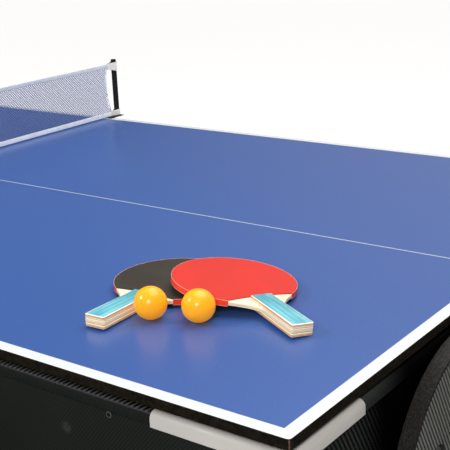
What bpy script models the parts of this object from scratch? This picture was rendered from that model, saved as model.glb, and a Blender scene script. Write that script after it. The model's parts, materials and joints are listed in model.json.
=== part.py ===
"""Swivelling games table with a lift-off table-tennis top.

A playing cabinet hangs between two end panels and turns over about the long
axis: a bumper-pool bed faces up and a slide-hockey bed faces down.  A two-part
table-tennis top with its net lies on the cabinet's rails, and the bats and
balls lie on the top.

Frame: metres, +X along the length, +Z up, origin on the floor at the centre.
"""
import math

import bmesh
import bpy
from mathutils import Matrix, Vector

# ---------------------------------------------------------------- driving dimensions
GAP = 0.0003                      # clearance kept between pieces that touch

SURFACE_Z = 0.800                 # height of the tennis playing surface
TOP_LENGTH = 2.300
TOP_WIDTH = 1.040
BOARD_THICK = 0.012
BOARD_CORNER = 0.004
REST_GAP = 0.003                  # room for the pads between boards and rails
PAD_INSET = 0.022
PAD_WIDTH = 0.020
PAD_START = 0.060                 # from the middle of the table
PAD_CORNER = 0.010
PAD_INNER_CORNER = 0.005

CABINET_DEPTH = 0.190             # over the rails, top to bottom
RAIL_PROUD = 0.004                # how far the rails stand out past the boards
RAIL_WIDTH = 0.070
RAIL_LIP = 0.016                  # visible height of a rail
RAIL_SHOULDER = 0.009
RAIL_CHAMFER = 0.0015
RAIL_INNER_DROP = 0.0384          # rail height where it stands on the bed
LOWER_FRAME_CORNER = 0.020
APRON_INSET = 0.003               # apron face behind the rail face
APRON_THICK = 0.016
CAP_ALONG = 0.166                 # corner cap arms, from the outer corner
CAP_ACROSS = 0.136
CAP_CORNER = 0.028
CAP_CLEAR = 0.0012                # room for the cushion's corner inside a cap
CAP_PROUD = 0.0012                # how far a cap stands out past the rails
CAP_HEIGHT = 0.017                # its skirt hangs a little below the rails
CAP_SHOULDER = 0.008
CAP_EDGE = 0.0010

BED_DEPTH = 0.040                 # playing bed below the rail top
BED_THICK = 0.012
CLOTH_THICK = 0.001
CUSHION_REACH = 0.040
CUSHION_BACK = 0.028              # height of a cushion where it meets its rail
CUSHION_DROP = 0.001              # its top edge below the rail top
CUSHION_NOSE = ((-0.004, -0.0035), (0.0, -0.0065), (-0.003, -0.010))  # (reach, drop) round the nose
BUMPER_RADIUS = 0.027
BUMPER_HEIGHT = 0.036
BUMPER_CORE = BUMPER_RADIUS * 0.6
BUMPER_ROUND = 0.003
BUMPER_TENON = 0.006              # how far a post is sunk in the bed
BUMPER_RING = 0.150               # radius of the centre group of bumpers
POCKET_X = 0.930
POCKET_RADIUS = 0.0335
POCKET_DEPTH = 0.072
POCKET_WALL = 0.0025
POCKET_ROUND = 0.006
POCKET_GUARD = 0.080              # bumpers either side of a pocket
GOAL_WIDTH = 0.260
GOAL_HEIGHT = 0.026
GOAL_BACK = 0.005                 # wood left behind a goal mouth
GOAL_ROOF = 0.002                 # rail left above a goal mouth
SPINE_THICK = 0.018
SPINE_CLEAR = 0.030               # from the spine's end to the pocket

PANEL_INNER_X = 1.158
PANEL_THICK = 0.019
PANEL_HALF_WIDTH = 0.344
PANEL_TOP_Z = 0.783
PANEL_SHOULDER = 0.160
PANEL_EDGING = 0.003
PANEL_FACE_INSET = 0.0005

BEAM_LENGTH = 0.760
BEAM_WIDTH = 0.060
BEAM_BOTTOM = 0.018
BEAM_TOP = 0.060
BEAM_ROUND = 0.003
STRETCHER_WIDTH = 0.100
STRETCHER_HEIGHT = 0.036
STRETCHER_LIFT = 0.003            # above the beams' undersides
LEVELER_Y = 0.340
LEVELER_RADIUS = 0.026
LEVELER_RIM = 0.007
LEVELER_NECK_RADIUS = 0.014
LEVELER_NECK = 0.012
LEVELER_STEM = 0.006
LEVELER_STEM_FOOT = 0.013
LEVELER_STEM_TOP = 0.044
LEVELER_HOLE_DEPTH = 0.032

PIVOT_SHAFT_RADIUS = 0.014
PIVOT_BUSH_RADIUS = 0.020
PIVOT_FLANGE_RADIUS = 0.045
PIVOT_FLANGE_THICK = 0.003
PIVOT_SHAFT_INSET = 0.004         # shaft's end behind the panel's face
PIVOT_COVER_RADIUS = 0.036
PIVOT_COVER_DOME = ((0.0, 0.009), (0.6, 0.0082), (0.9, 0.0055), (1.0, 0.002))  # (share, height)
LOCK_PIN_RADIUS = 0.006
LOCK_PIN_DROP = 0.062             # below the pivot
LOCK_PIN_TRAVEL = 0.014
LOCK_PIN_CLEAR = 0.0035           # drawn-out tip to the rail's face
LOCK_HOLE_DEPTH = 0.030
LOCK_KNOB_RADIUS = 0.016
LOCK_KNOB_LENGTH = 0.016
LOCK_KNOB_CLEAR = 0.0015          # knob to the panel when it is pushed in
SCREW_CAP_RADIUS = 0.019
SCREW_CAP_Y = 0.262
SCREW_CAP_LEVELS = (0.660, 0.180)
SCREW_CAP_DEPTH = 0.0065

NET_HEIGHT = 0.121                # above the playing surface
NET_HALF_LENGTH = 0.520
NET_THICK = 0.0016
NET_LIFT = 0.002                  # bottom tape above the playing surface
NET_LOOP_WALL = 0.0012
NET_LOOP_LEVELS = ((0.003, 0.013), (0.103, 0.1206))  # above the playing surface
POST_Y = 0.5440
POST_RADIUS = 0.006
POST_HEIGHT = 0.130
BRACKET_HALF_WIDTH = 0.014
BRACKET_PLATE = 0.0015
BRACKET_PROUD = 0.002             # plate's edge past the post
BRACKET_REACH = 0.012             # how far the clip grips in over the board

BALL_RADIUS = 0.020
BALL_PLACES = {"ball_left": (0.8600, -0.3652), "ball_right": (0.9137, -0.3433)}

BAT_BLADE_LENGTH = 0.1616
BAT_BLADE_WIDTH = 0.1536
BAT_BLADE_CENTRE = 0.1635         # from the handle's end
BAT_SHOULDER_ANGLE = 146          # from the tip round to where the neck starts, degrees
BAT_NECK_END = 0.058              # where the neck has run out into the handle
BAT_NECK_CURVE = 1.8              # power of the neck's hollow
BAT_GRIP_LENGTH = 0.0965
BAT_HANDLE_WIDTH = 0.0284
BAT_HANDLE_TAPER = 0.0006         # how much narrower each side is towards the blade
BAT_HANDLE_CORNER = 0.0022
BAT_THICK = 0.015
BAT_CORE = 0.0046
BAT_RUBBER = 0.0011
BAT_RUBBER_EDGE = 0.0980          # the rubber's straight edge, from the handle's end
BAT_RUBBER_HOLLOW = 0.0040
RUBBER_SHRINK = 0.0003
# place of the middle of the handle's end, heading, rise from handle to tip and roll
BAT_PLACES = {
    "bat_black": ((0.8244, -0.4247), 93.5, -1.5, 0.0),
    "bat_red": ((1.0405, -0.3206), 153.05, 2.12, 6.2),
}

# ---------------------------------------------------------------- derived sizes
HALF_LENGTH = TOP_LENGTH / 2
HALF_WIDTH = TOP_WIDTH / 2
BOARD_BOTTOM = SURFACE_Z - BOARD_THICK
RAIL_TOP = BOARD_BOTTOM - REST_GAP
RAIL_X = HALF_LENGTH + RAIL_PROUD
RAIL_Y = HALF_WIDTH + RAIL_PROUD
APRON_X = RAIL_X - APRON_INSET
APRON_Y = RAIL_Y - APRON_INSET
INSIDE_X = APRON_X - APRON_THICK
INSIDE_Y = APRON_Y - APRON_THICK
PIVOT_Z = RAIL_TOP - CABINET_DEPTH / 2
CABINET_BOTTOM = RAIL_TOP - CABINET_DEPTH
BED_TOP = RAIL_TOP - BED_DEPTH
CLOTH_TOP = BED_TOP + GAP + CLOTH_THICK
HOCKEY_FACE = CABINET_BOTTOM + BED_DEPTH
PANEL_OUTER_X = PANEL_INNER_X + PANEL_THICK
BEAM_X = PANEL_INNER_X + PANEL_THICK / 2

SIDES = {"left": -1, "right": 1}  # ends of the table, along X
FACES = {"front": -1, "back": 1}  # long sides, along Y
UP = Vector((0, 0, 1))

COLLECTION_NAME = "bumper_pool_table"
CUTTER_COLLECTION_NAME = "cutters"


# ---------------------------------------------------------------- scene and materials
def clear_scene():
    for obj in list(bpy.data.objects):
        bpy.data.objects.remove(obj, do_unlink=True)
    for collection in list(bpy.data.collections):
        bpy.data.collections.remove(collection)


def new_collection(name):
    collection = bpy.data.collections.new(name)
    bpy.context.scene.collection.children.link(collection)
    return collection


def new_material(name, color, roughness, metallic=0.0):
    material = bpy.data.materials.new(name)
    material.use_nodes = True
    shader = material.node_tree.nodes["Principled BSDF"]
    shader.inputs["Base Color"].default_value = (*color, 1.0)
    shader.inputs["Roughness"].default_value = roughness
    shader.inputs["Metallic"].default_value = metallic
    return material


FINISHES = {
    "carbon": ((0.018, 0.021, 0.019), 0.45, 0.0),
    "cap_plastic": ((0.58, 0.55, 0.52), 0.42, 0.0),
    "leather_black": ((0.030, 0.027, 0.025), 0.6, 0.0),
    "blue_surface": ((0.085, 0.150, 0.460), 0.32, 0.0),
    "foam_pad": ((0.03, 0.03, 0.03), 0.9, 0.0),
    "bed_board": ((0.36, 0.26, 0.16), 0.7, 0.0),
    "green_cloth": ((0.02, 0.20, 0.07), 0.9, 0.0),
    "cushion_cloth": ((0.02, 0.17, 0.06), 0.9, 0.0),
    "white_plastic": ((0.75, 0.75, 0.74), 0.35, 0.0),
    "hockey_white": ((0.80, 0.82, 0.84), 0.2, 0.0),
    "batten_wood": ((0.42, 0.30, 0.18), 0.7, 0.0),
    "steel": ((0.45, 0.45, 0.46), 0.3, 1.0),
    "black_plastic": ((0.02, 0.02, 0.02), 0.4, 0.0),
    "painted_wood": ((0.02, 0.02, 0.02), 0.5, 0.0),
    "foot_rubber": ((0.02, 0.02, 0.02), 0.8, 0.0),
    "post_metal": ((0.012, 0.012, 0.012), 0.4, 0.2),
    "net_mesh": ((0.58, 0.58, 0.61), 0.9, 0.0),
    "net_tape": ((0.62, 0.60, 0.59), 0.8, 0.0),
    "ball_orange": ((0.95, 0.42, 0.03), 0.3, 0.0),
    "bat_ply": ((0.90, 0.72, 0.48), 0.5, 0.0),
    "bat_grip": ((0.12, 0.58, 0.68), 0.45, 0.0),
    "red_rubber": ((0.86, 0.07, 0.05), 0.5, 0.0),
    "black_rubber": ((0.07, 0.06, 0.05), 0.6, 0.0),
}


# ---------------------------------------------------------------- builders
class Bench:
    """Holds the collections, the materials and the tools that make pieces."""

    def __init__(self):
        self.parts = new_collection(COLLECTION_NAME)
        self.cutters = new_collection(CUTTER_COLLECTION_NAME)
        self.materials = {}
        for name, (color, roughness, metallic) in FINISHES.items():
            self.materials[name] = new_material(name, color, roughness, metallic)

    def add(self, name, data, matrix=None, finish=None):
        obj = bpy.data.objects.new(name, data)
        self.parts.objects.link(obj)
        if matrix is not None:
            obj.matrix_world = matrix
        if finish:
            data.materials.clear()
            data.materials.append(self.materials[finish])
        bpy.context.view_layer.update()
        return obj

    def empty(self, name, place, rotation=None, parent=None):
        obj = bpy.data.objects.new(name, None)
        self.parts.objects.link(obj)
        obj.matrix_world = Matrix.Translation(place) @ (rotation or Matrix.Identity(4))
        if parent:
            attach([obj], parent)
        bpy.context.view_layer.update()
        return obj

    def box(self, name, low, high, finish, bevel=0.0, segments=2):
        low, high = Vector(low), Vector(high)
        mesh = bpy.data.meshes.new(name)
        bm = bmesh.new()
        bmesh.ops.create_cube(bm, size=1.0, matrix=Matrix.Diagonal((*(high - low), 1.0)))
        bm.to_mesh(mesh)
        bm.free()
        obj = self.add(name, mesh, Matrix.Translation((low + high) / 2), finish)
        if bevel:
            self.round_edges(obj, bevel, segments)
        return obj

    def round_edges(self, obj, width, segments=2):
        modifier = obj.modifiers.new("rounded edges", "BEVEL")
        modifier.width = width
        modifier.segments = segments
        modifier.limit_method = "ANGLE"
        modifier.angle_limit = math.radians(40)
        return obj

    def outline(self, name, loops, half_depth, matrix, finish):
        """A flat outline, with any holes as further loops, pushed out both ways."""
        curve = bpy.data.curves.new(name, "CURVE")
        curve.dimensions = "2D"
        curve.fill_mode = "BOTH"
        curve.extrude = half_depth
        for loop in loops:
            spline = curve.splines.new("POLY")
            spline.points.add(len(loop) - 1)
            for point, (u, v) in zip(spline.points, loop):
                point.co = (u, v, 0.0, 1.0)
            spline.use_cyclic_u = True
        return self.add(name, curve, matrix, finish)

    def solidify_curve(self, obj):
        """Turns a curve piece into a welded mesh, so that it can be cut or bevelled."""
        name = obj.name
        graph = bpy.context.evaluated_depsgraph_get()
        mesh = bpy.data.meshes.new_from_object(obj.evaluated_get(graph))
        matrix = obj.matrix_world.copy()
        bpy.data.objects.remove(obj, do_unlink=True)
        bm = bmesh.new()
        bm.from_mesh(mesh)
        bmesh.ops.remove_doubles(bm, verts=bm.verts, dist=1e-5)
        bm.to_mesh(mesh)
        bm.free()
        mesh.name = name
        return self.add(name, mesh, matrix)

    def turned(self, name, profile, matrix, finish, steps=24, closed=False):
        """A profile of (radius, height) points, outer side top to bottom, spun about Z."""
        mesh = bpy.data.meshes.new(name)
        bm = bmesh.new()
        verts = [bm.verts.new((radius, 0.0, height)) for radius, height in profile]
        for first, second in zip(verts, verts[1:]):
            bm.edges.new((first, second))
        if closed:
            bm.edges.new((verts[-1], verts[0]))
        bm.to_mesh(mesh)
        bm.free()
        obj = self.add(name, mesh, matrix, finish)
        screw = obj.modifiers.new("turned", "SCREW")
        screw.steps = steps
        screw.render_steps = steps
        screw.use_merge_vertices = True
        screw.merge_threshold = 0.00001
        return obj

    def cut(self, obj, cutter):
        for collection in list(cutter.users_collection):
            collection.objects.unlink(cutter)
        self.cutters.objects.link(cutter)
        cutter.hide_render = True
        cutter.display_type = "WIRE"
        modifier = obj.modifiers.new("cut " + cutter.name, "BOOLEAN")
        modifier.operation = "DIFFERENCE"
        modifier.solver = "EXACT"
        modifier.object = cutter
        return obj

    def rod_cutter(self, name, centre, axis, radius, length, sides=32):
        mesh = bpy.data.meshes.new(name)
        bm = bmesh.new()
        bmesh.ops.create_cone(bm, cap_ends=True, segments=sides, radius1=radius,
                              radius2=radius, depth=length)
        bm.to_mesh(mesh)
        bm.free()
        matrix = Matrix.Translation(centre) @ Vector(axis).to_track_quat("Z", "Y").to_matrix().to_4x4()
        return self.add(name, mesh, matrix)

    def gathered(self, name, pieces, finish=None):
        """One mesh object from several solids, whose own objects are removed."""
        bpy.context.view_layer.update()
        graph = bpy.context.evaluated_depsgraph_get()
        bm = bmesh.new()
        for piece in pieces:
            mesh = bpy.data.meshes.new_from_object(piece.evaluated_get(graph))
            mesh.transform(piece.matrix_world)
            bm.from_mesh(mesh)
        bmesh.ops.remove_doubles(bm, verts=bm.verts, dist=1e-6)
        joined = bpy.data.meshes.new(name)
        bm.to_mesh(joined)
        bm.free()
        for piece in pieces:
            bpy.data.objects.remove(piece, do_unlink=True)
        return self.add(name, joined, Matrix.Identity(4), finish)

    def mitred_frame(self, name, section, half_x, half_y, finish, corner=0.0):
        """A rectangular ring: section is (inward offset, height) points round the strip.

        The outer vertical edges of the ring's corners are rounded by corner.
        """
        mesh = bpy.data.meshes.new(name)
        bm = bmesh.new()
        weight = bm.edges.layers.float.new("bevel_weight_edge")
        corners = [(1, 1), (-1, 1), (-1, -1), (1, -1)]
        rings = [[bm.verts.new((sx * (half_x - inward), sy * (half_y - inward), height))
                  for inward, height in section] for sx, sy in corners]
        count = len(section)
        for first, second in zip(rings, rings[1:] + rings[:1]):
            for i in range(count):
                j = (i + 1) % count
                bm.faces.new((first[i], second[i], second[j], first[j]))
        for ring in rings:
            for i in range(count):
                j = (i + 1) % count
                edge = bm.edges.get((ring[i], ring[j]))
                edge[weight] = 1.0 if corner and max(section[i][0], section[j][0]) < corner else 0.0
        bmesh.ops.recalc_face_normals(bm, faces=bm.faces)
        bm.to_mesh(mesh)
        bm.free()
        obj = self.add(name, mesh, Matrix.Identity(4), finish)
        if corner:
            modifier = obj.modifiers.new("rounded corners", "BEVEL")
            modifier.limit_method = "WEIGHT"
            modifier.width = corner
            modifier.segments = 4
        return obj

    def join(self, obj, other):
        """Unites a helper solid with a piece; the two overlap."""
        for collection in list(other.users_collection):
            collection.objects.unlink(other)
        self.cutters.objects.link(other)
        other.hide_render = True
        other.display_type = "WIRE"
        modifier = obj.modifiers.new("join " + other.name, "BOOLEAN")
        modifier.operation = "UNION"
        modifier.solver = "EXACT"
        modifier.object = other
        return obj


def attach(pieces, parent):
    """Parents pieces to an empty on their joint's axis and keeps them in place."""
    bpy.context.view_layer.update()
    for piece in pieces:
        placed = piece.matrix_world.copy()
        piece.parent = parent
        piece.matrix_parent_inverse = parent.matrix_world.inverted()
        piece.matrix_world = placed
    return pieces


def smooth(obj, angle=35):
    obj.data.shade_smooth()
    obj.data.set_sharp_from_angle(angle=math.radians(angle))
    return obj


# ---------------------------------------------------------------- geometry helpers
def basis(place, across, upward):
    """Matrix that lays an outline's x along across and its y along upward."""
    across, upward = Vector(across), Vector(upward)
    depth = across.cross(upward)
    columns = Matrix((across, upward, depth)).transposed()
    return Matrix.Translation(place) @ columns.to_4x4()


def arc(centre, radius, start, end, steps):
    """Points of an arc, angles in degrees, both ends included."""
    points = []
    for step in range(steps + 1):
        angle = math.radians(start + (end - start) * step / steps)
        points.append((centre[0] + radius * math.cos(angle), centre[1] + radius * math.sin(angle)))
    return points


def circle(centre, radius, steps):
    return arc(centre, radius, 0, 360 - 360 / steps, steps - 1)


def rounded_rectangle(half_x, half_y, radius, steps=4):
    points = []
    for sign_x, sign_y, start in ((1, 1, 0), (-1, 1, 90), (-1, -1, 180), (1, -1, 270)):
        centre = (sign_x * (half_x - radius), sign_y * (half_y - radius))
        points += arc(centre, radius, start, start + 90, steps)
    return points


# ---------------------------------------------------------------- the stand
def arch(half_width, top, shoulder, bottom, steps=14):
    """End-panel outline from bottom left over both shoulders to bottom right."""
    left = arc((-half_width + shoulder, top - shoulder), shoulder, 180, 90, steps)
    right = arc((half_width - shoulder, top - shoulder), shoulder, 90, 0, steps)
    return [(-half_width, bottom)] + left + right + [(half_width, bottom)]


def end_panel(bench, side, sign):
    inset = PANEL_EDGING + GAP
    bottom = BEAM_TOP + GAP
    body = arch(PANEL_HALF_WIDTH - inset, PANEL_TOP_Z - inset, PANEL_SHOULDER - inset, bottom)
    holes = [circle((0, PIVOT_Z), PIVOT_BUSH_RADIUS + GAP, 32),
             circle((0, PIVOT_Z - LOCK_PIN_DROP), LOCK_PIN_RADIUS + GAP * 1.5, 16)]
    place = basis((sign * BEAM_X, 0, 0), (0, 1, 0), UP)
    half = PANEL_THICK / 2 - PANEL_FACE_INSET
    panel = bench.outline(f"end_panel_{side}", [body] + holes, half, place, "carbon")
    panel = bench.solidify_curve(panel)
    for number, (y, z) in enumerate(screw_cap_places()):
        recess = bench.rod_cutter(f"recess_{side}_{number}", (sign * PANEL_OUTER_X, y, z),
                                  (1, 0, 0), SCREW_CAP_RADIUS + 2 * GAP,
                                  2 * SCREW_CAP_DEPTH, 28)
        bench.cut(panel, recess)

    outer = arch(PANEL_HALF_WIDTH, PANEL_TOP_Z, PANEL_SHOULDER, bottom)
    inner = arch(PANEL_HALF_WIDTH - PANEL_EDGING, PANEL_TOP_Z - PANEL_EDGING,
                 PANEL_SHOULDER - PANEL_EDGING, bottom)
    bench.outline(f"panel_edging_{side}", [outer + inner[::-1]], PANEL_THICK / 2, place,
                  "leather_black")


def screw_cap_places():
    return [(y, z) for z in SCREW_CAP_LEVELS for y in (-SCREW_CAP_Y, SCREW_CAP_Y)]


def turned_along_x(sign, centre):
    """Matrix that points a turned piece's +Z outward along the table."""
    return Matrix.Translation(centre) @ Vector((sign, 0, 0)).to_track_quat("Z", "Y").to_matrix().to_4x4()


def pivot_fittings(bench, side, sign):
    bore = PIVOT_SHAFT_RADIUS + GAP * 1.5
    half = PANEL_THICK / 2 - GAP
    ring = [(PIVOT_BUSH_RADIUS, half), (PIVOT_BUSH_RADIUS, -half), (bore, -half), (bore, half)]
    place = turned_along_x(sign, (sign * BEAM_X, 0, PIVOT_Z))
    smooth(bench.turned(f"pivot_bush_{side}", ring, place, "steel", 32, closed=True))
    radius = PIVOT_COVER_RADIUS
    dome = [(radius * share, height) for share, height in PIVOT_COVER_DOME] + [(radius, 0), (0, 0)]
    place = turned_along_x(sign, (sign * (PANEL_OUTER_X + GAP), 0, PIVOT_Z))
    smooth(bench.turned(f"pivot_cover_{side}", dome, place, "black_plastic", 32))


def foot_beam(bench, side, sign):
    half = BEAM_WIDTH / 2
    beam = bench.box(f"foot_beam_{side}", (sign * BEAM_X - half, -BEAM_LENGTH / 2, BEAM_BOTTOM),
                     (sign * BEAM_X + half, BEAM_LENGTH / 2, BEAM_TOP), "painted_wood", BEAM_ROUND)
    for face, towards in FACES.items():
        hole = bench.rod_cutter(f"stem_hole_{side}_{face}",
                                (sign * BEAM_X, towards * LEVELER_Y, BEAM_BOTTOM),
                                UP, LEVELER_STEM + GAP, 2 * LEVELER_HOLE_DEPTH, 16)
        bench.cut(beam, hole)


def leveler(bench, side, sign, face, towards):
    profile = [(0, LEVELER_STEM_TOP), (LEVELER_STEM, LEVELER_STEM_TOP),
               (LEVELER_STEM, LEVELER_STEM_FOOT), (LEVELER_NECK_RADIUS, LEVELER_NECK),
               (LEVELER_RADIUS, LEVELER_RIM), (LEVELER_RADIUS, 0.0), (0, 0.0)]
    place = Matrix.Translation((sign * BEAM_X, towards * LEVELER_Y, 0))
    foot = bench.turned(f"leveler_{side}_{face}", profile, place, "foot_rubber", 20)
    return smooth(foot)


def lock_pin(bench, side, sign):
    """Plunger of the flip lock, drawn out; pushed in, it enters the end apron."""
    tip = RAIL_X + LOCK_PIN_CLEAR
    grip = PANEL_OUTER_X + LOCK_PIN_TRAVEL + LOCK_KNOB_CLEAR
    knob_end = grip + LOCK_KNOB_LENGTH
    profile = [(0, knob_end), (LOCK_KNOB_RADIUS * 0.8, knob_end),
               (LOCK_KNOB_RADIUS, knob_end - 0.003), (LOCK_KNOB_RADIUS, grip + 0.004),
               (LOCK_KNOB_RADIUS * 0.7, grip), (LOCK_PIN_RADIUS, grip),
               (LOCK_PIN_RADIUS, tip + 0.001), (LOCK_PIN_RADIUS - 0.001, tip), (0, tip)]
    place = turned_along_x(sign, (0, 0, PIVOT_Z - LOCK_PIN_DROP))
    pin = bench.turned(f"lock_pin_{side}", profile, place, "black_plastic", 20)
    return smooth(pin)


def build_stand(bench):
    for side, sign in SIDES.items():
        end_panel(bench, side, sign)
        foot_beam(bench, side, sign)
        pivot_fittings(bench, side, sign)
        lock_pin(bench, side, sign)
        for face, towards in FACES.items():
            leveler(bench, side, sign, face, towards)
    reach = BEAM_X - BEAM_WIDTH / 2 - GAP
    bottom = BEAM_BOTTOM + STRETCHER_LIFT
    bench.box("stretcher", (-reach, -STRETCHER_WIDTH / 2, bottom),
              (reach, STRETCHER_WIDTH / 2, bottom + STRETCHER_HEIGHT), "painted_wood", BEAM_ROUND)


# ---------------------------------------------------------------- the cabinet
def rail_outline():
    """Rail section: x outward from the outer face, y up from the rail top."""
    shoulder = arc((-RAIL_SHOULDER, -RAIL_SHOULDER), RAIL_SHOULDER, 90, 0, 5)
    rabbet = -(APRON_INSET + APRON_THICK + GAP)
    return [(-RAIL_WIDTH, 0)] + shoulder + [
        (0, -RAIL_LIP + RAIL_CHAMFER), (-RAIL_CHAMFER, -RAIL_LIP), (rabbet, -RAIL_LIP),
        (rabbet, -RAIL_INNER_DROP), (-RAIL_WIDTH, -RAIL_INNER_DROP)]


def rail(bench, name, outward, half_length):
    outward = Vector(outward)
    reach = RAIL_X if outward.x else RAIL_Y
    place = basis(outward * reach + UP * RAIL_TOP, outward, UP)
    return bench.outline(name, [rail_outline()], half_length, place, "carbon")


def corner_cap(bench, name, sign, towards):
    """L-shaped moulding over a rail corner, with a skirt in front of the aprons."""
    width = RAIL_WIDTH - CAP_CLEAR + CAP_PROUD
    along, across = CAP_ALONG + CAP_PROUD, CAP_ACROSS + CAP_PROUD
    inside = [(-width, -across), (-width, -width), (-along, -width)]
    corner = arc((-CAP_CORNER, -CAP_CORNER), CAP_CORNER, 90, 0, 6)
    outline = [(sign * x, towards * y)
               for x, y in inside + [(-along, 0)] + corner + [(0, -across)]]
    place = Matrix.Translation((sign * (RAIL_X + CAP_PROUD), towards * (RAIL_Y + CAP_PROUD),
                                RAIL_TOP - CAP_HEIGHT / 2))
    cap = bench.outline(name, [outline], CAP_HEIGHT / 2, place, "cap_plastic")
    cap = bench.solidify_curve(cap)
    mark_upper_outer_edges(cap.data, sign, towards)
    shoulder = cap.modifiers.new("shoulder", "BEVEL")
    shoulder.limit_method = "WEIGHT"
    shoulder.width = CAP_SHOULDER
    shoulder.segments = 5
    return smooth(bench.round_edges(cap, CAP_EDGE))


def mark_upper_outer_edges(mesh, sign, towards):
    """Gives bevel weight to a cap's upper edges along its two outer faces."""
    bm = bmesh.new()
    bm.from_mesh(mesh)
    bmesh.ops.dissolve_limit(bm, angle_limit=math.radians(1), verts=bm.verts, edges=bm.edges)
    weight = bm.edges.layers.float.new("bevel_weight_edge")
    for edge in bm.edges:
        outer = all(vert.co.z > 0 and max(sign * vert.co.x, towards * vert.co.y) > -CAP_CORNER / 2
                    for vert in edge.verts)
        edge[weight] = 1.0 if outer else 0.0
    bm.to_mesh(mesh)
    bm.free()


def cap_seat(bench):
    """Clears the caps' undersides for the aprons and leaves the skirts."""
    low = (-APRON_X - GAP, -APRON_Y - GAP, RAIL_TOP - 2 * CAP_HEIGHT)
    high = (APRON_X + GAP, APRON_Y + GAP, RAIL_TOP - RAIL_LIP)
    return bench.box("cap_seat", low, high, None)


def goal_cutter(bench, side, sign):
    """Mouth of a hockey goal in the inner part of an end rail."""
    near, far = sorted((sign * (RAIL_X - RAIL_WIDTH - 0.005), sign * (INSIDE_X - GOAL_BACK)))
    low = (near, -GOAL_WIDTH / 2, HOCKEY_FACE - GOAL_ROOF - GOAL_HEIGHT)
    high = (far, GOAL_WIDTH / 2, HOCKEY_FACE + 0.010)
    return bench.box(f"goal_cutter_{side}", low, high, None)


def lower_frame(bench):
    """The hockey side's rails, one glued frame with a goal mouth in each end."""
    section = [(-across, CABINET_BOTTOM - up) for across, up in rail_outline()]
    frame = bench.mitred_frame("lower_rail_frame", section, RAIL_X, RAIL_Y, "carbon",
                               LOWER_FRAME_CORNER)
    for side, sign in SIDES.items():
        bench.cut(frame, goal_cutter(bench, side, sign))
    return frame


def rails_and_caps(bench):
    half_x = RAIL_X - CAP_ALONG - GAP
    half_y = RAIL_Y - CAP_ACROSS - GAP
    seat = cap_seat(bench)
    pieces = [lower_frame(bench)]
    for face, towards in FACES.items():
        pieces.append(rail(bench, f"top_rail_{face}", (0, towards, 0), half_x))
    for side, sign in SIDES.items():
        pieces.append(rail(bench, f"top_rail_{side}", (sign, 0, 0), half_y))
        for face, towards in FACES.items():
            cap = corner_cap(bench, f"corner_cap_{face}_{side}", sign, towards)
            pieces.append(bench.cut(cap, seat))
    return pieces


def aprons(bench):
    low_z = CABINET_BOTTOM + RAIL_LIP + GAP
    high_z = RAIL_TOP - RAIL_LIP - GAP
    pieces = []
    for face, towards in FACES.items():
        near, far = sorted((towards * INSIDE_Y, towards * APRON_Y))
        pieces.append(bench.box(f"apron_{face}", (-APRON_X, near, low_z), (APRON_X, far, high_z),
                                "carbon"))
    for side, sign in SIDES.items():
        near, far = sorted((sign * INSIDE_X, sign * APRON_X))
        width = INSIDE_Y - GAP
        end = bench.box(f"apron_{side}", (near, -width, low_z), (far, width, high_z), "carbon")
        for number, turn in enumerate((-1, 1)):
            hole = bench.rod_cutter(f"lock_hole_{side}_{number}",
                                    (sign * APRON_X, 0, PIVOT_Z + turn * LOCK_PIN_DROP),
                                    (1, 0, 0), LOCK_PIN_RADIUS + 2 * GAP, 2 * LOCK_HOLE_DEPTH, 16)
            bench.cut(end, hole)
        pieces.append(end)
    return pieces


def bumper_places():
    ring = [(BUMPER_RING * math.cos(math.radians(45 * k)), BUMPER_RING * math.sin(math.radians(45 * k)))
            for k in range(8)]
    guards = [(sign * POCKET_X, towards * POCKET_GUARD) for sign in (-1, 1) for towards in (-1, 1)]
    return ring + guards


def pocket_cup(bench, side, sign):
    outer, inner = POCKET_RADIUS + POCKET_WALL, POCKET_RADIUS
    bottom = CLOTH_TOP - POCKET_DEPTH
    floor = bottom + POCKET_WALL
    profile = [(inner, CLOTH_TOP), (outer, CLOTH_TOP), (outer, bottom + POCKET_ROUND),
               (outer - POCKET_ROUND, bottom), (0, bottom), (0, floor),
               (inner - POCKET_ROUND, floor), (inner, floor + 0.005), (inner, CLOTH_TOP)]
    place = Matrix.Translation((sign * POCKET_X, 0, 0))
    return smooth(bench.turned(f"pocket_cup_{side}", profile, place, "black_plastic", 24))


def pool_bed(bench):
    half_x, half_y = INSIDE_X - GAP, INSIDE_Y - GAP
    frame = rounded_rectangle(half_x, half_y, 0.001, 1)
    pockets = [circle((sign * POCKET_X, 0), POCKET_RADIUS + POCKET_WALL + GAP, 24) for sign in (-1, 1)]
    core = BUMPER_CORE
    sockets = [circle(place, core + GAP, 12) for place in bumper_places()]
    bed = bench.outline("pool_bed", [frame] + pockets, BED_THICK / 2,
                        Matrix.Translation((0, 0, BED_TOP - BED_THICK / 2)), "bed_board")
    bed = bench.solidify_curve(bed)
    posts = []
    for number, (x, y) in enumerate(bumper_places()):
        post = [(0, BUMPER_HEIGHT), (core - BUMPER_ROUND, BUMPER_HEIGHT),
                (core, BUMPER_HEIGHT - BUMPER_ROUND), (core, -BUMPER_TENON), (0, -BUMPER_TENON)]
        place = Matrix.Translation((x, y, BED_TOP))
        posts.append(bench.turned(f"post_{number}", post, place, "white_plastic", 12))
    bench.join(bed, bench.gathered("bumper_posts", posts))
    cloth = bench.outline("bed_cloth", [frame] + pockets + sockets, CLOTH_THICK / 2,
                          Matrix.Translation((0, 0, BED_TOP + GAP + CLOTH_THICK / 2)), "green_cloth")
    return [bed, cloth] + [pocket_cup(bench, side, sign) for side, sign in SIDES.items()]


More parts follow.
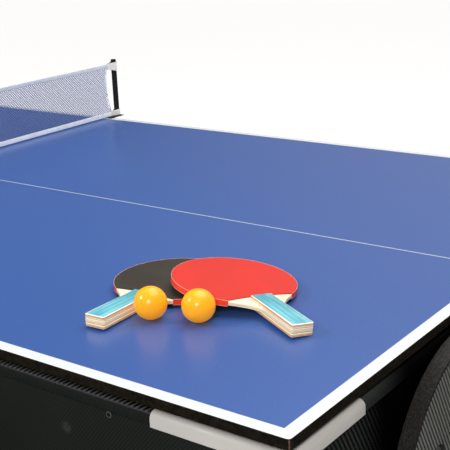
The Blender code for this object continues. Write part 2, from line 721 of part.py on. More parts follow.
def cushion_frame(bench):
    """Nosed rubber strip in cloth, mitred round the inner faces of the top rails."""
    nose = [(CUSHION_REACH + reach, drop) for reach, drop in CUSHION_NOSE]
    section = [(GAP, -CUSHION_DROP)] + nose + [(GAP, -CUSHION_DROP - CUSHION_BACK)]
    heights = [(inward, RAIL_TOP + drop) for inward, drop in section]
    return bench.mitred_frame("cushion_frame", heights, RAIL_X - RAIL_WIDTH,
                              RAIL_Y - RAIL_WIDTH, "cushion_cloth")


def inner_structure(bench):
    half_x, half_y = INSIDE_X - GAP, INSIDE_Y - GAP
    hockey_top = HOCKEY_FACE + BED_THICK
    bed = bench.box("hockey_bed", (-half_x, -half_y, HOCKEY_FACE), (half_x, half_y, hockey_top),
                    "hockey_white")
    reach = POCKET_X - POCKET_RADIUS - SPINE_CLEAR
    spine = bench.box("centre_spine", (-reach, -SPINE_THICK / 2, hockey_top + GAP),
                      (reach, SPINE_THICK / 2, BED_TOP - BED_THICK - GAP), "batten_wood")
    return [bed, spine]


def pivot_shaft(bench, side, sign):
    flange = APRON_X + GAP
    face = flange + PIVOT_FLANGE_THICK
    end = PANEL_OUTER_X - PIVOT_SHAFT_INSET
    profile = [(0, end), (PIVOT_SHAFT_RADIUS - 0.001, end), (PIVOT_SHAFT_RADIUS, end - 0.001),
               (PIVOT_SHAFT_RADIUS, face), (PIVOT_FLANGE_RADIUS, face),
               (PIVOT_FLANGE_RADIUS, flange), (0, flange)]
    place = turned_along_x(sign, (0, 0, PIVOT_Z))
    return smooth(bench.turned(f"pivot_shaft_{side}", profile, place, "steel", 32))


def build_cabinet(bench, axis):
    pieces = rails_and_caps(bench) + aprons(bench) + pool_bed(bench) + inner_structure(bench)
    pieces.append(cushion_frame(bench))
    pieces += [pivot_shaft(bench, side, sign) for side, sign in SIDES.items()]
    attach(pieces, axis)


# ---------------------------------------------------------------- the tennis top
def half_board_outline(sign, edge_x, half_y, radius, inner_x):
    """One board's outline, square at the middle of the table and rounded at its end."""
    corner_x = edge_x - radius
    far = arc((corner_x, half_y - radius), radius, 90, 0, 4)
    near = arc((corner_x, -half_y + radius), radius, 0, -90, 4)
    points = [(inner_x, half_y)] + far + near + [(inner_x, -half_y)]
    return [(sign * x, y) for x, y in points]


def boards(bench):
    pieces = []
    half_y = HALF_WIDTH
    pad_z = (RAIL_TOP + BOARD_BOTTOM) / 2
    for side, sign in SIDES.items():
        body = half_board_outline(sign, HALF_LENGTH, half_y, BOARD_CORNER, GAP / 2)
        place = Matrix.Translation((0, 0, SURFACE_Z - BOARD_THICK / 2))
        pieces.append(bench.outline(f"board_{side}", [body], BOARD_THICK / 2, place, "blue_surface"))
        outer = half_board_outline(sign, HALF_LENGTH - PAD_INSET, half_y - PAD_INSET, PAD_CORNER,
                                   PAD_START)
        inset = PAD_INSET + PAD_WIDTH
        inner = half_board_outline(sign, HALF_LENGTH - inset, half_y - inset, PAD_INNER_CORNER,
                                   PAD_START)
        pieces.append(bench.outline(f"board_pad_{side}", [outer + inner[::-1]],
                                    REST_GAP / 2 - GAP, Matrix.Translation((0, 0, pad_z)), "foam_pad"))
    return pieces


def bracket_outline():
    """Clip section: x outward from the board's edge, y up from the playing surface."""
    top, plate = BRACKET_PLATE + GAP, BRACKET_PLATE
    under = -BOARD_THICK - GAP
    web = GAP + plate
    reach = POST_Y - HALF_WIDTH + POST_RADIUS + BRACKET_PROUD
    return [(-BRACKET_REACH, top), (reach, top), (reach, GAP), (web, GAP), (web, under - plate),
            (-BRACKET_REACH, under - plate), (-BRACKET_REACH, under), (GAP, under), (GAP, GAP),
            (-BRACKET_REACH, GAP)]


def net_set(bench):
    pieces, loops = [], []
    foot = SURFACE_Z + BRACKET_PLATE + 2 * GAP
    top = SURFACE_Z + POST_HEIGHT
    net_top = SURFACE_Z + NET_HEIGHT
    for face, towards in FACES.items():
        clip_place = basis((0, towards * HALF_WIDTH, SURFACE_Z), (0, towards, 0), UP)
        pieces.append(bench.outline(f"net_bracket_{face}", [bracket_outline()],
                                    BRACKET_HALF_WIDTH, clip_place, "post_metal"))
        profile = [(0, top), (POST_RADIUS - 0.001, top), (POST_RADIUS, top - 0.001),
                   (POST_RADIUS, foot), (0, foot)]
        place = Matrix.Translation((0, towards * POST_Y, 0))
        pieces.append(smooth(bench.turned(f"net_post_{face}", profile, place, "post_metal", 16)))
        # A loop of each tape passes round the post, one at the top and one at the bottom.
        wall = POST_RADIUS + GAP + NET_LOOP_WALL
        start, end = NET_HALF_LENGTH - 0.002, POST_Y + wall
        shape = [(-wall, start), (wall, start), (wall, end), (-wall, end)]
        hole = circle((0, POST_Y), POST_RADIUS + GAP, 16)
        for low, high in NET_LOOP_LEVELS:
            both = [[(x, towards * y) for x, y in loop] for loop in (shape, hole)]
            middle = Matrix.Translation((0, 0, SURFACE_Z + (low + high) / 2))
            loops.append(bench.outline(f"loop_{face}_{low:.3f}", both, (high - low) / 2, middle,
                                       "net_tape"))
    net = bench.box("net", (-NET_THICK / 2, -NET_HALF_LENGTH, SURFACE_Z + NET_LIFT),
                    (NET_THICK / 2, NET_HALF_LENGTH, net_top), "net_mesh")
    pieces.append(bench.join(net, bench.gathered("net_loops", loops)))
    return pieces


def build_tennis_top(bench, seat):
    attach(boards(bench) + net_set(bench), seat)


# ---------------------------------------------------------------- bats and balls
def blade_arc(to_angle, shrink=0.0, steps=44):
    """Round of a blade, counter-clockwise, open towards the handle."""
    points = []
    for step in range(steps + 1):
        angle = math.radians(to_angle * (2 * step / steps - 1))
        points.append((BAT_BLADE_CENTRE + (BAT_BLADE_LENGTH / 2 - shrink) * math.cos(angle),
                       (BAT_BLADE_WIDTH / 2 - shrink) * math.sin(angle)))
    return points


def both_sides(side):
    """Outline from a run along +Y, towards the handle's end, and its mirror image."""
    return side + [(x, -y) for x, y in reversed(side)]


def handle_side():
    half = BAT_HANDLE_WIDTH / 2
    corner = BAT_HANDLE_CORNER
    return [(BAT_NECK_END, half - BAT_HANDLE_TAPER), (corner, half),
            (corner * 0.3, half - corner * 0.3), (0.0, half - corner)]


def core_outline(steps=9):
    """Blade, hollow neck and handle in one piece of plywood."""
    arc_points = blade_arc(BAT_SHOULDER_ANGLE)
    start_x, start_y = arc_points[-1]
    foot = BAT_HANDLE_WIDTH / 2 - BAT_HANDLE_TAPER
    neck = []
    for step in range(1, steps):
        share = 1 - step / steps
        neck.append((BAT_NECK_END + (start_x - BAT_NECK_END) * share,
                     foot + (start_y - foot) * share ** BAT_NECK_CURVE))
    return arc_points + both_sides(neck + handle_side())


def grip_outline():
    half = BAT_HANDLE_WIDTH / 2 - BAT_HANDLE_TAPER
    return both_sides([(BAT_GRIP_LENGTH, half)] + handle_side())


def rubber_outline(steps=6):
    """Blade's round, closed by an edge that is slightly hollow towards the handle."""
    cosine = (BAT_RUBBER_EDGE - BAT_BLADE_CENTRE) / (BAT_BLADE_LENGTH / 2 - RUBBER_SHRINK)
    arc_points = blade_arc(math.degrees(math.acos(cosine)), RUBBER_SHRINK)
    reach = arc_points[-1][1]
    edge = []
    for step in range(1, steps):
        y = reach * (1 - 2 * step / steps)
        edge.append((BAT_RUBBER_EDGE + BAT_RUBBER_HOLLOW * (1 - (y / reach) ** 2), y))
    return arc_points + edge


def lowest_point(turn):
    """Lowest level of a turned bat's lower rims, measured from its origin."""
    rubber_face = -(BAT_CORE / 2 + GAP + BAT_RUBBER)
    rim = [(x, y, rubber_face) for x, y in rubber_outline()]
    rim += [(x, y, -BAT_THICK / 2) for x, y in grip_outline()]
    return min((turn @ Vector(point)).z for point in rim)


def bat(bench, name, rubber_up, rubber_down, seat):
    (x, y), heading, rise, roll = BAT_PLACES[name]
    turn = (Matrix.Rotation(math.radians(heading), 4, "Z")
            @ Matrix.Rotation(-math.radians(rise), 4, "Y")
            @ Matrix.Rotation(math.radians(roll), 4, "X"))
    frame = bench.empty(name, (x, y, SURFACE_Z + GAP - lowest_point(turn)), turn, seat)
    place = frame.matrix_world.copy()

    pieces = [bench.outline(f"{name}_blade", [core_outline()], BAT_CORE / 2, place, "bat_ply")]
    rubber_level = BAT_CORE / 2 + GAP + BAT_RUBBER / 2
    grip_thick = (BAT_THICK - BAT_CORE) / 2 - GAP
    grip_level = BAT_CORE / 2 + GAP + grip_thick / 2
    for label, side, finish in (("top", 1, rubber_up), ("bottom", -1, rubber_down)):
        at = place @ Matrix.Translation((0, 0, side * rubber_level))
        pieces.append(bench.outline(f"{name}_rubber_{label}", [rubber_outline()],
                                    BAT_RUBBER / 2, at, finish))
        at = place @ Matrix.Translation((0, 0, side * grip_level))
        pieces.append(bench.outline(f"{name}_grip_{label}", [grip_outline()], grip_thick / 2, at,
                                    "bat_grip"))
    attach(pieces, frame)


def ball(bench, name, place, seat):
    x, y = place
    mesh = bpy.data.meshes.new(name)
    bm = bmesh.new()
    bmesh.ops.create_uvsphere(bm, u_segments=36, v_segments=20, radius=BALL_RADIUS)
    bm.to_mesh(mesh)
    bm.free()
    obj = bench.add(name, mesh, Matrix.Translation((x, y, SURFACE_Z + BALL_RADIUS + GAP)), "ball_orange")
    smooth(obj, 60)
    attach([obj], seat)


def main():
    clear_scene()
    bench = Bench()
    build_stand(bench)
    flip_axis = bench.empty("flip_axis", (0, 0, PIVOT_Z))
    build_cabinet(bench, flip_axis)
    top_seat = bench.empty("tennis_top_seat", (0, 0, BOARD_BOTTOM), parent=flip_axis)
    build_tennis_top(bench, top_seat)
    bat(bench, "bat_black", "black_rubber", "red_rubber", top_seat)
    bat(bench, "bat_red", "red_rubber", "black_rubber", top_seat)
    for name, place in BALL_PLACES.items():
        ball(bench, name, place, top_seat)


main()
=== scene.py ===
"""Looks of the swivelling games table: finishes, fine fittings, net, bats, light and camera.

Metres, +X along the table, +Z up, the floor at 0.  Sizes are read from the
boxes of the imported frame's nodes.  What a box doesn't tell is given here: the
pieces that only this script makes, paint and foil, and the bats' outline.
"""
import json
import math

import bmesh
import bpy
import numpy as np
from mathutils import Matrix, Vector


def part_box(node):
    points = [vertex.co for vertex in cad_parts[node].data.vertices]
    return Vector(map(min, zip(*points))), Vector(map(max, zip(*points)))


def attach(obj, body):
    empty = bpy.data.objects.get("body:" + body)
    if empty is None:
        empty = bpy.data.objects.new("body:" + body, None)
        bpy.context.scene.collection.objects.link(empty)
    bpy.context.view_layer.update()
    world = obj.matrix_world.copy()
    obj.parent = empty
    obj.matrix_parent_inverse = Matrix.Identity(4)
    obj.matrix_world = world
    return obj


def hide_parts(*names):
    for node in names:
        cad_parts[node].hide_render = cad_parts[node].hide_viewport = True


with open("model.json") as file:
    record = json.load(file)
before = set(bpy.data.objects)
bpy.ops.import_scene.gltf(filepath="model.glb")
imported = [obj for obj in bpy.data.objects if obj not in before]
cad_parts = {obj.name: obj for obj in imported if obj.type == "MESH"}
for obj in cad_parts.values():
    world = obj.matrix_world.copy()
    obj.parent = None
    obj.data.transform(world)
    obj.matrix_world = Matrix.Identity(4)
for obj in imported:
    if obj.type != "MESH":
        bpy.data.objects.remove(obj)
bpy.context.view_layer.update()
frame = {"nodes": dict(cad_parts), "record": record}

# ---------------------------------------------------------------- sizes from the frame
BOARD_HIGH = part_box("board_right")[1]
SURFACE = BOARD_HIGH.z
HALF_LENGTH = BOARD_HIGH.x
HALF_WIDTH = BOARD_HIGH.y
RAIL_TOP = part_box("top_rail_front")[1].z
APRON_LOW, APRON_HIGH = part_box("apron_front")
APRON_FACE_Y = -APRON_LOW.y
CAP_LOW, CAP_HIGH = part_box("corner_cap_front_right")
CAP_END_X = CAP_LOW.x             # where the arms of a corner cap end
CAP_END_Y = -CAP_HIGH.y
PANEL_RIM_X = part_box("panel_edging_right")[1].x
CLOTH_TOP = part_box("bed_cloth")[1].z
POST_LOW, POST_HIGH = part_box("net_post_back")
POST_Y = (POST_LOW.y + POST_HIGH.y) / 2
POST_RADIUS = (POST_HIGH.y - POST_LOW.y) / 2
NET_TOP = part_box("net")[1].z

SIDES = {"left": -1, "right": 1}
FACES = {"front": -1, "back": 1}

# ---------------------------------------------------------------- sizes given here
LINE_WIDTH = 0.0158               # white border of the playing surface
CENTRE_LINE = 0.0023
LINE_SOFT = 0.0003                # half the width of a painted line's soft edge
CORNER_WEAR = (0.0022, 0.0014)    # from a board's corner: where wear starts, and is full
RAIL_STRIPE = 0.0058              # carbon-look foil: period across its stripes
APRON_STRIPE = 0.0034
PANEL_STRIPE = 0.0054
FOIL_THREAD = 0.0011              # period of the fine threads across a stripe
RAIL_SHOULDER = 0.009             # height of the rolled edge of a top rail
STRIPE_FADE = (0.45, 0.70)        # along a long rail: stripes are strong before it, faint past it
RAIL_SHADE = 0.285                # half the length of an end rail's middle that is painted near black as shade
APRON_SHADE = 0.335               # the same on an end apron
SCUFF_PLACE = (0.865, 0.731)      # on the long aprons, along and up
RINK_CIRCLE = 0.150
RINK_GOAL_X = 1.080
RINK_GOAL_RADIUS = 0.200
RINK_LINE = 0.003                 # half the width of a line on the hockey field

NET_END_TOP = 0.5205              # half the mesh's length at its top, and the same lower down
NET_END_WAIST = 0.5150
NET_END_FOOT = 0.5290
NET_FOOT = SURFACE + 0.0025
TAPE_LOW = 0.0095
TAPE_HIGH = 0.008
TAPE_HALF_THICK = 0.0009
TAPE_FOLD = 0.0006                # height over which a tape's upper edge narrows
TAPE_WAVE = 0.00025
TAPE_WAVES = 37                   # radians of wave along a metre of tape
TAPE_STEPS = 120
STRAND_STEP = 0.0056
STRAND_WIDTH = 0.00125
STRAND_THICK = 0.00032
STRAP_THICK = 0.0009
STRAP_LAP = 0.005                 # how far a strap reaches back over the mesh
STRAP_GAPS = (0.0012, 0.0018)     # from the middle to each run of it, on the mesh and past it
STRAP_PAST = 0.003                # from the mesh's end to where its runs part
STRAP_WRAP = (-20, 200)           # degrees round the post
STRAP_CLEAR = 0.0012              # from the post to the middle of the strap
STRAP_TOP = (-0.0165, 0.0035)     # levels at the post, from the net's top
STRAP_BOTTOM = (0.0026, 0.0160)   # levels at the post, from the playing surface
HEM_HALF = (0.0007, 0.001)        # across the net and along it
STITCH_HALF = (0.0022, 0.0005)
STITCH_LEVELS = (-0.0105, -0.003)

BOLT_RADIUS = 0.0038
BOLT_DROP = 0.0006                # from the apron's top edge
BOLT_PLACES = (-0.9297, -0.310, 0.310, 0.9297)
# Turned sections as points of (radius, height).
BOLT_HEAD = ((0.0, 0.0001), (BOLT_RADIUS, 0.0001), (BOLT_RADIUS, 0.0008), (0.0034, 0.0013),
             (0.00266, 0.0013), (0.002508, 0.0004), (0.0, 0.0004))
# The socket's section is a near-black disc in the head's recess, the painted shade of the hole.
BOLT_SOCKET = ((0.0, 0.0006), (0.002356, 0.0006), (0.00209, 0.0008), (0.00114, 0.00075),
               (0.0, 0.00075))
SCREW_CAP = ((0.0, 0.0034), (0.0152, 0.0030), (0.0172, 0.0016), (0.0172, 0.0), (0.0, 0.0))
SCREW_CAP_INSET = 0.0062          # foot of a cap behind the panel's rim
SCREW_CAP_Y = 0.262
SCREW_CAP_LEVELS = (0.660, 0.180)
BUMPER_RUBBER = ((0.0166, 0.013), (0.024, 0.013), (0.0262, 0.0145), (0.027, 0.018),
                 (0.0258, 0.022), (0.027, 0.0265), (0.0262, 0.030), (0.024, 0.0315),
                 (0.0166, 0.0315))
BUMPER_RING = 0.150               # radius of the circle of eight posts
POCKET_X = 0.930                  # posts beside the pockets, along and across
POCKET_GUARD = 0.080

BLADE_LENGTH = 0.1616
BLADE_WIDTH = 0.1536
BLADE_CENTRE = 0.1635             # from the handle's end
SHOULDER_ANGLE = 146              # from the blade's tip round to the neck, degrees
HANDLE_WIDTH = 0.0284
BLADE_THICK = 0.0074              # with both rubbers
# Glue lines and dark plies of a handle: height from its middle, half width, softness, colour.
HANDLE_PLIES = ((0.0064, 0.00055, 0.00015, (0.50, 0.155, 0.028)),
                (0.0052, 0.00045, 0.00018, (0.88, 0.42, 0.09)),
                (0.0030, 0.00025, 0.00020, (0.66, 0.32, 0.10)),
                (0.0050, 0.0002, 0.0001, (0.22, 0.09, 0.03)))
TAPE_GROW = (0.00005, 0.0004)     # edge tape's inner and outer faces past the blade's edge

# ---------------------------------------------------------------- light and camera
# Surround by heading: share of a turn, and the colour there.
SURROUND = ((0.0, (0.38, 0.38, 0.38)), (0.12, (0.44, 0.44, 0.44)), (0.50, (0.44, 0.44, 0.44)),
            (0.60, (0.30, 0.30, 0.30)), (0.72, (0.36, 0.34, 0.31)), (0.79, (0.56, 0.49, 0.40)),
            (0.84, (0.32, 0.28, 0.24)), (0.875, (0.08, 0.08, 0.08)), (0.95, (0.05, 0.05, 0.05)),
            (1.0, (0.38, 0.38, 0.38)))
# Lamps: place, target, size and watts.
LAMPS = {"overhead": ((0.9, 0.55, 3.0), (0.7, -0.2, 0.8), (2.6, 2.2), 52),
         "key": ((-1.3, -2.3, 2.9), (0.9, -0.3, 0.8), (0.6, 0.6), 36),
         "front": ((2.05, -2.6, 2.3), (0.8, -0.3, 0.8), (0.8, 0.8), 36)}
FLOOR_SIZE = 300
CAMERA_PLACE = (1.6082, -1.2207, 1.2657)
CAMERA_TURN = (("Z", 38.04), ("X", 72.71), ("Z", -2.81))   # degrees, outermost first
CAMERA_LENS = 83.3
CAMERA_SHIFT = 0.0556


# ---------------------------------------------------------------- node materials
class Finish:
    """A procedural material, built up node by node in the piece's own coordinates."""

    def __init__(self, name, roughness=0.5, **sockets):
        self.material = bpy.data.materials.new(name)
        self.material.use_nodes = True
        self.nodes = self.material.node_tree.nodes
        self.links = self.material.node_tree.links
        self.shader = self.nodes["Principled BSDF"]
        self.shader.inputs["Roughness"].default_value = roughness
        for socket, value in sockets.items():
            self.shader.inputs[socket.replace("_", " ")].default_value = value
        coordinates = self.nodes.new("ShaderNodeTexCoord")
        self.place = coordinates.outputs["Object"]
        self.normal = coordinates.outputs["Normal"]

    def feed(self, socket, value):
        """Links a node's output to the socket, or sets it to a constant."""
        if isinstance(value, bpy.types.NodeSocket):
            self.links.new(value, socket)
        else:
            socket.default_value = value

    def set(self, name, value):
        self.feed(self.shader.inputs[name], value)

    def local(self, matrix):
        """Takes coordinates in the frame of that matrix from here on."""
        node = self.nodes.new("ShaderNodeMapping")
        node.vector_type = "TEXTURE"
        node.inputs["Location"].default_value = matrix.translation
        node.inputs["Rotation"].default_value = matrix.to_euler()
        self.links.new(self.place, node.inputs["Vector"])
        self.place = node.outputs["Vector"]

    def stretched(self, x, y, z):
        """Coordinates scaled along each axis, which draws a texture out along the small ones."""
        node = self.nodes.new("ShaderNodeMapping")
        node.inputs["Scale"].default_value = (x, y, z)
        self.links.new(self.place, node.inputs["Vector"])
        return node.outputs["Vector"]

    def axes(self, vector=None):
        node = self.nodes.new("ShaderNodeSeparateXYZ")
        self.links.new(vector or self.place, node.inputs[0])
        return node.outputs[0], node.outputs[1], node.outputs[2]

    def math(self, operation, first, second=0.0):
        node = self.nodes.new("ShaderNodeMath")
        node.operation = operation
        for socket, value in zip(node.inputs, (first, second)):
            self.feed(socket, value)
        return node.outputs[0]

    def distance(self, first, second):
        """Square root of the sum of both values' squares."""
        squares = [self.math("MULTIPLY", value, value) for value in (first, second)]
        return self.math("SQRT", self.math("ADD", *squares))

    def step(self, value, low, high, start=0.0, end=1.0):
        """Smooth change from start to end as value goes from low to high."""
        node = self.nodes.new("ShaderNodeMapRange")
        node.interpolation_type = "SMOOTHSTEP"
        for socket, given in zip(node.inputs, (value, low, high, start, end)):
            self.feed(socket, given)
        return node.outputs[0]

    def band(self, value, centre, half, soft):
        """1 within half of centre, 0 outside it."""
        away = self.math("ABSOLUTE", self.math("SUBTRACT", value, centre))
        return self.step(away, half - soft, half + soft, 1.0, 0.0)

    def noise(self, scale, detail=2.0, roughness=0.5, vector=None):
        node = self.nodes.new("ShaderNodeTexNoise")
        node.inputs["Scale"].default_value = scale
        node.inputs["Detail"].default_value = detail
        node.inputs["Roughness"].default_value = roughness
        self.links.new(vector or self.place, node.inputs["Vector"])
        return node.outputs["Fac"]

    def cells(self, scale):
        node = self.nodes.new("ShaderNodeTexVoronoi")
        node.inputs["Scale"].default_value = scale
        self.links.new(self.place, node.inputs["Vector"])
        return node.outputs["Distance"]

    def mix(self, factor, first, second):
        node = self.nodes.new("ShaderNodeMix")
        node.data_type = "RGBA"
        self.feed(node.inputs[0], factor)
        for socket, value in ((node.inputs[6], first), (node.inputs[7], second)):
            if not isinstance(value, bpy.types.NodeSocket):
                value = (*value, 1.0)
            self.feed(socket, value)
        return node.outputs[2]

    def shade(self, color, amount, low=0.85, high=1.15):
        """Darkens and lightens a colour by a 0 to 1 value."""
        node = self.nodes.new("ShaderNodeHueSaturation")
        self.feed(node.inputs["Value"], self.step(amount, 0.3, 0.7, low, high))
        if not isinstance(color, bpy.types.NodeSocket):
            color = (*color, 1.0)
        self.feed(node.inputs["Color"], color)
        return node.outputs[0]

    def bump(self, height, strength, distance):
        """Adds relief, on top of any that the shader already has."""
        node = self.nodes.new("ShaderNodeBump")
        node.inputs["Strength"].default_value = strength
        node.inputs["Distance"].default_value = distance
        self.feed(node.inputs["Height"], height)
        if self.shader.inputs["Normal"].is_linked:
            before = self.shader.inputs["Normal"].links[0].from_socket
            self.links.new(before, node.inputs["Normal"])
        self.links.new(node.outputs["Normal"], self.shader.inputs["Normal"])


def plain(name, color, roughness, grain=600, depth=0.15, vary=0.08, **sockets):
    """A moulded or coated surface: slight colour and gloss variation and a fine grain."""
    made = Finish(name, roughness, **sockets)
    cloud = made.noise(14, 3)
    fine = made.noise(grain, 2)
    made.set("Base Color", made.shade(color, cloud, 1 - vary, 1 + vary))
    gloss = made.step(made.noise(40, 3), 0.3, 0.7, roughness * 0.88, roughness * 1.12)
    made.set("Roughness", gloss)
    made.bump(fine, depth, 0.0004)
    return made.material


def blue_board():
    """Blue surface with white lines and a black edge that is worn at the corners."""
    made = Finish("blue_board", 0.30, Specular_IOR_Level=0.42)
    x, y, _ = made.axes()
    far_x = made.math("ABSOLUTE", x)
    far_y = made.math("ABSOLUTE", y)
    margin = made.math("MINIMUM", made.math("SUBTRACT", HALF_LENGTH, far_x),
                       made.math("SUBTRACT", HALF_WIDTH, far_y))
    border = made.step(margin, LINE_WIDTH - LINE_SOFT, LINE_WIDTH + LINE_SOFT, 1.0, 0.0)
    centre = made.step(far_y, CENTRE_LINE / 2 - LINE_SOFT, CENTRE_LINE / 2 + LINE_SOFT, 1.0, 0.0)
    lines = made.math("MAXIMUM", border, centre)
    blue = made.shade((0.050, 0.119, 0.368), made.noise(1.4, 0), 0.97, 1.03)
    blue = made.shade(blue, made.noise(1500, 1), 0.985, 1.015)
    paint = (0.760, 0.790, 0.805)
    white = made.shade(paint, made.noise(60, 3), 0.99, 1.01)
    faint = made.mix(centre, paint, (0.53, 0.58, 0.67))
    top = made.mix(lines, blue, made.mix(border, faint, white))
    _, _, up = made.axes(made.normal)
    edge = made.shade((0.0076, 0.0060, 0.0040), made.noise(160, 4), 0.6, 1.5)
    specks = made.step(made.noise(420, 1), 0.76, 0.80)
    edge = made.mix(specks, edge, (0.05, 0.045, 0.04))
    first, full = CORNER_WEAR
    corner = made.math("MULTIPLY", made.step(far_x, HALF_LENGTH - first, HALF_LENGTH - full),
                       made.step(far_y, HALF_WIDTH - first, HALF_WIDTH - full))
    worn = made.math("MULTIPLY", corner, made.noise(300, 2))
    edge = made.mix(worn, edge, (0.16, 0.095, 0.06))
    made.set("Base Color", made.mix(made.step(up, 0.45, 0.55), edge, top))
    made.set("Specular IOR Level", made.step(up, 0.45, 0.55, 0.15, 0.42))
    made.set("Roughness", made.step(made.noise(1500, 1), 0.3, 0.7, 0.27, 0.30))
    made.bump(made.noise(1500, 1), 0.02, 0.0002)
    return made.material


def foil(made, along, height, lean, period, dark, light, contrast=1.0, edges=(-0.5, 0.5)):
    """Carbon-look foil: slanted tows, each with fine threads across it; gives (colour, tow)."""
    turn = math.radians(lean)
    across = made.math("ADD", made.math("MULTIPLY", along, math.sin(turn) / period),
                       made.math("MULTIPLY", height, -math.cos(turn) / period))
    wobble = made.math("MULTIPLY", made.noise(260, 1), 0.10)
    phase = made.math("MULTIPLY", made.math("ADD", across, wobble), 2 * math.pi)
    tow = made.step(made.math("SINE", phase), *edges)
    down = made.math("ADD", made.math("MULTIPLY", along, math.cos(turn)),
                     made.math("MULTIPLY", height, math.sin(turn)))
    thread = made.math("SINE", made.math("MULTIPLY", down, 2 * math.pi / FOIL_THREAD))
    shown = made.math("MULTIPLY", tow, contrast)
    threads = made.step(thread, -1.0, 1.0, 0.3, 0.7)
    return made.shade(made.mix(shown, dark, light), threads, 0.96, 1.04), tow


def carbon_rail(name, along_x):
    """Pale tows on the rolled shoulder, painted as a highlight, and a band under it painted black
    as shade, over a matt face; an end rail's middle is painted near black as shade.
    """
    made = Finish(name, 0.40, Specular_IOR_Level=0.12)
    x, y, z = made.axes()
    along, inward = (x, y) if along_x else (y, x)
    height = made.math("SUBTRACT", z, made.math("ABSOLUTE", inward))
    if along_x:
        # Painted light: the rolled shoulder gets pale tows as a highlight, and the band under it
        # is painted black as shade.
        rolled = made.step(z, RAIL_TOP - RAIL_SHOULDER * 0.40, RAIL_TOP - RAIL_SHOULDER * 0.28)
        gap = made.step(z, RAIL_TOP - RAIL_SHOULDER * 0.80, RAIL_TOP - RAIL_SHOULDER * 0.42)
        near, far = STRIPE_FADE
        below = made.step(made.math("ABSOLUTE", x), far, near, 0.30, 0.75)
        # This black is painted shade, not the foil's colour.
        black = (0.0010, 0.0010, 0.0010)
        dark_tows_and_painted_shade = made.mix(gap, (0.0070, 0.0084, 0.0074), black)
        pale_tows_painted_shade_and_highlight = made.mix(gap, (0.0135, 0.0158, 0.0142), black)
        pale_tows_painted_shade_and_highlight = made.mix(rolled, pale_tows_painted_shade_and_highlight, (0.046, 0.048, 0.046))
        contrast = made.math("MAXIMUM", rolled, below)
        color, tow = foil(made, along, height, 62, RAIL_STRIPE, dark_tows_and_painted_shade, pale_tows_painted_shade_and_highlight, contrast,
                          (0.0, 0.9))
        made.set("Specular IOR Level", made.step(rolled, 0.0, 1.0, 0.15, 0.08))
    else:
        color, tow = foil(made, along, height, -62, RAIL_STRIPE, (0.0150, 0.0180, 0.0160),
                          (0.0200, 0.0240, 0.0215))
        # Painted shade: an end rail's middle is painted near black, with its specular turned down.
        clear_of_painted_shade = made.step(made.math("ABSOLUTE", y), RAIL_SHADE, CAP_END_Y + 0.01)
        color = made.mix(clear_of_painted_shade, (0.0006, 0.0006, 0.0006), color)
        made.set("Specular IOR Level", made.step(clear_of_painted_shade, 0.0, 1.0, 0.01, 0.16))
    made.set("Base Color", made.shade(color, made.noise(9, 3), 0.92, 1.08))
    made.bump(tow, 0.08, 0.0002)
    return made.material


def carbon_apron(name, along_x):
    """Duller foil with a faint scuff; an end apron's middle, behind the panel, is painted near
    black as shade.
    """
    made = Finish(name, 0.45, Specular_IOR_Level=0.12)
    x, y, z = made.axes()
    if along_x:
        color, tow = foil(made, x, z, 50, APRON_STRIPE, (0.0056, 0.0070, 0.0056),
                          (0.0104, 0.0122, 0.0104))
        away = made.distance(made.math("SUBTRACT", x, SCUFF_PLACE[0]),
                             made.math("SUBTRACT", z, SCUFF_PLACE[1]))
        scuff = made.math("MULTIPLY", made.step(away, 0.002, 0.010, 0.22, 0.0), made.noise(220, 3))
        color = made.mix(scuff, color, (0.10, 0.105, 0.10))
        made.set("Specular IOR Level", made.step(made.noise(5, 2), 0.3, 0.7, 0.10, 0.14))
    else:
        color, tow = foil(made, y, z, -60, RAIL_STRIPE, (0.0020, 0.0022, 0.0020),
                          (0.0170, 0.0200, 0.0180))
        # Painted shade: an end apron's middle, behind the panel, is painted near black, with its
        # specular turned down.
        clear_of_painted_shade = made.step(made.math("ABSOLUTE", y), APRON_SHADE, CAP_END_Y + 0.03)
        color = made.mix(clear_of_painted_shade, (0.0004, 0.0004, 0.0004), color)
        made.set("Specular IOR Level", made.step(clear_of_painted_shade, 0.0, 1.0, 0.01, 0.12))
    made.set("Base Color", made.shade(color, made.noise(6, 3), 0.88, 1.12))
    made.bump(tow, 0.05, 0.0002)
    return made.material


def carbon_panel():
    """Grey-black foil of the end panels, with steep stripes."""
    made = Finish("carbon_panel", 0.42, Specular_IOR_Level=0.22)
    _, y, z = made.axes()
    color, tow = foil(made, y, z, 120, PANEL_STRIPE, (0.022, 0.023, 0.020), (0.112, 0.114, 0.102))
    made.set("Base Color", made.shade(color, made.noise(5, 3), 0.93, 1.07))
    made.bump(tow, 0.08, 0.0002)
    return made.material


def lower_frame():
    """Dark foil with pale corners, like the top rails with their caps."""
    made = Finish("lower_frame", 0.42, Specular_IOR_Level=0.25)
    x, y, z = made.axes()
    far_x = made.math("ABSOLUTE", x)
    far_y = made.math("ABSOLUTE", y)
    color, tow = foil(made, made.math("ADD", x, y), z, 52, APRON_STRIPE, (0.0120, 0.0140, 0.0125),
                      (0.022, 0.026, 0.023), 0.7)
    near = made.math("MULTIPLY", made.step(far_x, CAP_END_X, CAP_END_X + 0.0006),
                     made.step(far_y, CAP_END_Y, CAP_END_Y + 0.0006))
    pale = made.shade((0.56, 0.53, 0.50), made.noise(20, 3), 0.96, 1.04)
    made.set("Base Color", made.mix(near, color, pale))
    made.bump(tow, 0.12, 0.0002)
    return made.material


